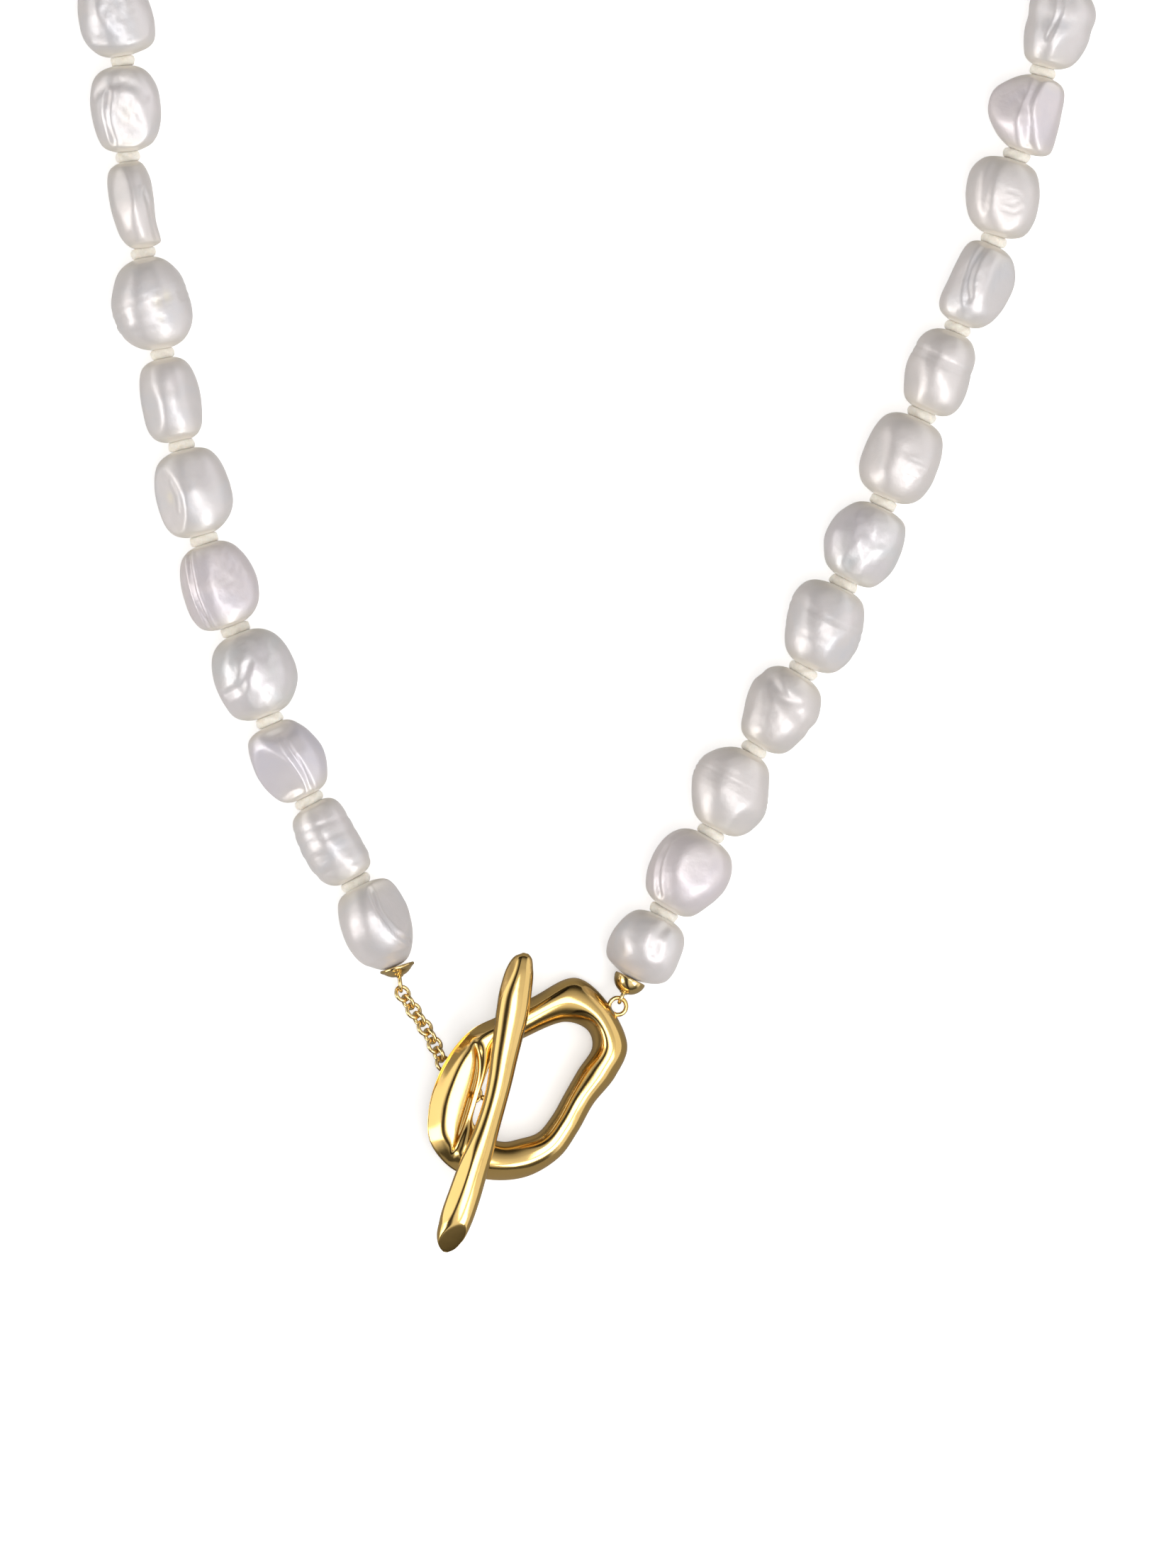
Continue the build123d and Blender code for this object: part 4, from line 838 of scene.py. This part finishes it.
# a long bevel down the left of the lower half, and the dark facet at the lower tip
P = cut(P, (-14.20, -93.0, 7.12), (-0.535, 0.162, 0.83), 0.02, below=-87.0)
P = cut(P, (-14.5, -97.3, 7.05), (0.12, -0.58, 0.805), 0.03)
P = cut(P, (-8.62, -71.0, 6.95), (-0.66, 0.34, 0.66), 0.12)
grid = P.reshape(NU, NV, 3)
hx, hy = at
deg = math.radians(LINKS[-1])
reach = 0.90 - 2 * 0.20 - RUN
lc = np.array([hx + math.cos(deg) * reach, hy + math.sin(deg) * reach, CLASP_Z])
top = np.array([*BAR_SHANK_TOP, CLASP_Z])
d = unit(top - lc)
edge = lc + d * 0.90
post = [(top[0], top[1], CLASP_Z - 0.30), (top[0], top[1], CLASP_Z - 0.22), (top[0], top[1], 3.4), (top[0], top[1], 4.3), (top[0], top[1], 4.75), (top[0], top[1], 5.2)]
bar = mesh_piece("toggle_bar_polished", *join([
    skin(grid), torus(lc, (0, 0, 1), 0.90, 0.17, 72, 24), tube([edge - d * 0.1, edge + d * 0.2, top], [0.22, 0.28, 0.30]),
    tube(post, [0.26, 0.38, 0.36, 0.38, 0.52, 0.70])]), GOLD)
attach(bar, "bar")
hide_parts("toggle_bar")

# ---------------------------------------------------------------- studio: pale floor, soft dome, softboxes
fm, nt, b, co = new_material("studio_floor")
grains = noise_tex(nt, co, 90, 3, 0.5, -900, 0)
nt.links.new(ramp(nt, grains, [(0.3, (0.93, 0.93, 0.93)), (0.7, (0.95, 0.95, 0.95))], -600, 0), b.inputs["Base Color"])
b.inputs["Roughness"].default_value = 0.9
b.inputs["Specular IOR Level"].default_value = 0.1
# painted light: the floor glows by itself, which lifts its cast shadows and lights the pearls' undersides from below
b.inputs["Emission Color"].default_value = (1, 0.995, 0.99, 1)
b.inputs["Emission Strength"].default_value = 0.38                 # a faintly lit table, so shadows stay pale
# painted reflection: to glossy rays the pale floor shows as a dark brown-grey, as a dark card under a clasp would, so
# the metal and the pearl edges mirror a dark floor while the camera sees the floor pale
floor_painted_reflection = node(nt, "ShaderNodeBsdfDiffuse", 600, -300)
floor_painted_reflection.inputs["Color"].default_value = (0.30, 0.285, 0.25, 1)
ray = node(nt, "ShaderNodeLightPath", 500, 300)
swap = node(nt, "ShaderNodeMixShader", 800, 100)
nt.links.new(ray.outputs["Is Glossy Ray"], swap.inputs[0])
nt.links.new(b.outputs[0], swap.inputs[1])
nt.links.new(floor_painted_reflection.outputs[0], swap.inputs[2])
nt.links.new(swap.outputs[0], [n for n in nt.nodes if n.type == "OUTPUT_MATERIAL"][0].inputs[0])
fz = float(CAD_LO[2]) - 0.00005
fl = bpy.data.meshes.new("studio_floor")
fl.from_pydata([(-6, -6, fz), (6, -6, fz), (6, 6, fz), (-6, 6, fz)], [], [(0, 1, 2, 3)])
fl.materials.append(fm)
floor = bpy.data.objects.new("studio_floor", fl)
bpy.context.scene.collection.objects.link(floor)

world = bpy.data.worlds.new("studio_dome")
bpy.context.scene.world = world
world.use_nodes = True
nt = world.node_tree
nt.nodes.clear()
out = node(nt, "ShaderNodeOutputWorld", 900, 0)
bg = node(nt, "ShaderNodeBackground", 600, 0)
tc = node(nt, "ShaderNodeTexCoord", -600, 0)
sep = node(nt, "ShaderNodeSeparateXYZ", -400, 0)
nt.links.new(tc.outputs["Generated"], sep.inputs[0])
grey = ramp(nt, sep.outputs["Z"], [(0.0, (0.07, 0.066, 0.056)), (0.26, (0.08, 0.074, 0.06)), (0.42, (0.30, 0.29, 0.27)), (0.60, (0.70, 0.69, 0.67)), (0.80, (0.92, 0.92, 0.92)), (1.0, (0.95, 0.95, 0.95))], -150, 0)
# a dark gap runs up the tent on its left side, and the tent is dimmer towards the nape
lift = node(nt, "ShaderNodeMath", -400, -200, operation="MAXIMUM")
nt.links.new(sep.outputs["Z"], lift.inputs[0])
lift.inputs[1].default_value = 0.02
turn = node(nt, "ShaderNodeMath", -250, -200, operation="ARCTAN2")
nt.links.new(sep.outputs["X"], turn.inputs[0])
nt.links.new(lift.outputs[0], turn.inputs[1])
span = node(nt, "ShaderNodeMapRange", -100, -200)
span.inputs["From Min"].default_value = -math.pi / 2
span.inputs["From Max"].default_value = math.pi / 2
nt.links.new(turn.outputs[0], span.inputs["Value"])
slot = ramp(nt, span.outputs[0], [(0.225, (1, 1, 1)), (0.27, (0.06, 0.052, 0.04)), (0.375, (0.05, 0.043, 0.035)), (0.425, (1, 1, 1))], 50, -200)
depth_y = node(nt, "ShaderNodeMapRange", -100, -500)
depth_y.inputs["From Min"].default_value = -1.0
nt.links.new(sep.outputs["Y"], depth_y.inputs["Value"])
nape = ramp(nt, depth_y.outputs[0], [(0.45, (1, 1, 1)), (0.70, (0.60, 0.585, 0.57)), (1.0, (0.45, 0.44, 0.42))], 50, -500)


def times(a, b, x, y, how="MULTIPLY"):
    n = node(nt, "ShaderNodeMix", x, y)
    n.data_type = "RGBA"
    n.blend_type = how
    n.inputs["Factor"].default_value = 1.0
    nt.links.new(a, n.inputs["A"])
    nt.links.new(b, n.inputs["B"])
    return n.outputs["Result"]


grey = times(times(grey, slot, 150, 0), nape, 200, -100)
# the tent's two side walls stay bright down to the table
across = node(nt, "ShaderNodeMapRange", -100, -800)
across.inputs["From Min"].default_value = -1.0
nt.links.new(sep.outputs["X"], across.inputs["Value"])
walls = ramp(nt, across.outputs[0], [(0.0, (1.40, 1.38, 1.34)), (0.07, (1.40, 1.38, 1.34)), (0.15, (0.0, 0.0, 0.0)), (0.77, (0.0, 0.0, 0.0)), (0.86, (1.0, 1.0, 1.0)), (1.0, (1.0, 1.0, 1.0))], 50, -800)
grey = times(grey, walls, 220, -300, "LIGHTEN")
lp = node(nt, "ShaderNodeLightPath", -150, 300)
mix = node(nt, "ShaderNodeMix", 250, 100)
mix.data_type = "RGBA"
nt.links.new(lp.outputs["Is Camera Ray"], mix.inputs["Factor"])
nt.links.new(grey, mix.inputs["A"])
mix.inputs["B"].default_value = (0.92, 0.92, 0.92, 1)
nt.links.new(mix.outputs["Result"], bg.inputs["Color"])
nt.links.new(bg.outputs[0], out.inputs[0])
bg.inputs["Strength"].default_value = 1.0


def softbox(name, where, size, size_y, power, colour=(1, 1, 1), aim=(0, -0.05, 0)):
    li = bpy.data.lights.new(name, "AREA")
    li.shape = "RECTANGLE"
    li.size, li.size_y, li.energy, li.color = size, size_y, power, colour
    ob = bpy.data.objects.new(name, li)
    bpy.context.scene.collection.objects.link(ob)
    ob.location = where
    ob.rotation_mode = "QUATERNION"
    ob.rotation_quaternion = (Vector(aim) - Vector(where)).to_track_quat("-Z", "Y")
    ob.visible_camera = False
    return ob


softbox("softbox_left", (-1.28, -0.42, 0.62), 0.60, 0.80, 4.8, (1.0, 0.985, 0.965))
softbox("softbox_right", (0.70, -0.80, 1.00), 0.62, 0.76, 6.4, (0.985, 0.99, 1.0))
softbox("softbox_top", (0.10, -0.20, 1.5), 0.44, 0.76, 4.2, (1, 1, 1))

# ---------------------------------------------------------------- camera straight above, long lens
cam = bpy.data.cameras.new("camera")
co_ = bpy.data.objects.new("camera", cam)
bpy.context.scene.collection.objects.link(co_)
DIST = 2.4
cam.sensor_fit = "AUTO"
cam.sensor_width = 36
cam.lens = 36 * (DIST - 0.004) / 0.16087
cam.clip_start, cam.clip_end = 0.05, 20
co_.location = (-0.001034, -0.052016, DIST)
co_.rotation_euler = (0, 0, 0)
bpy.context.scene.camera = co_

bpy.context.scene.view_settings.view_transform = "Standard"
bpy.context.scene.view_settings.look = "None"
bpy.context.scene.view_settings.exposure = 0.0
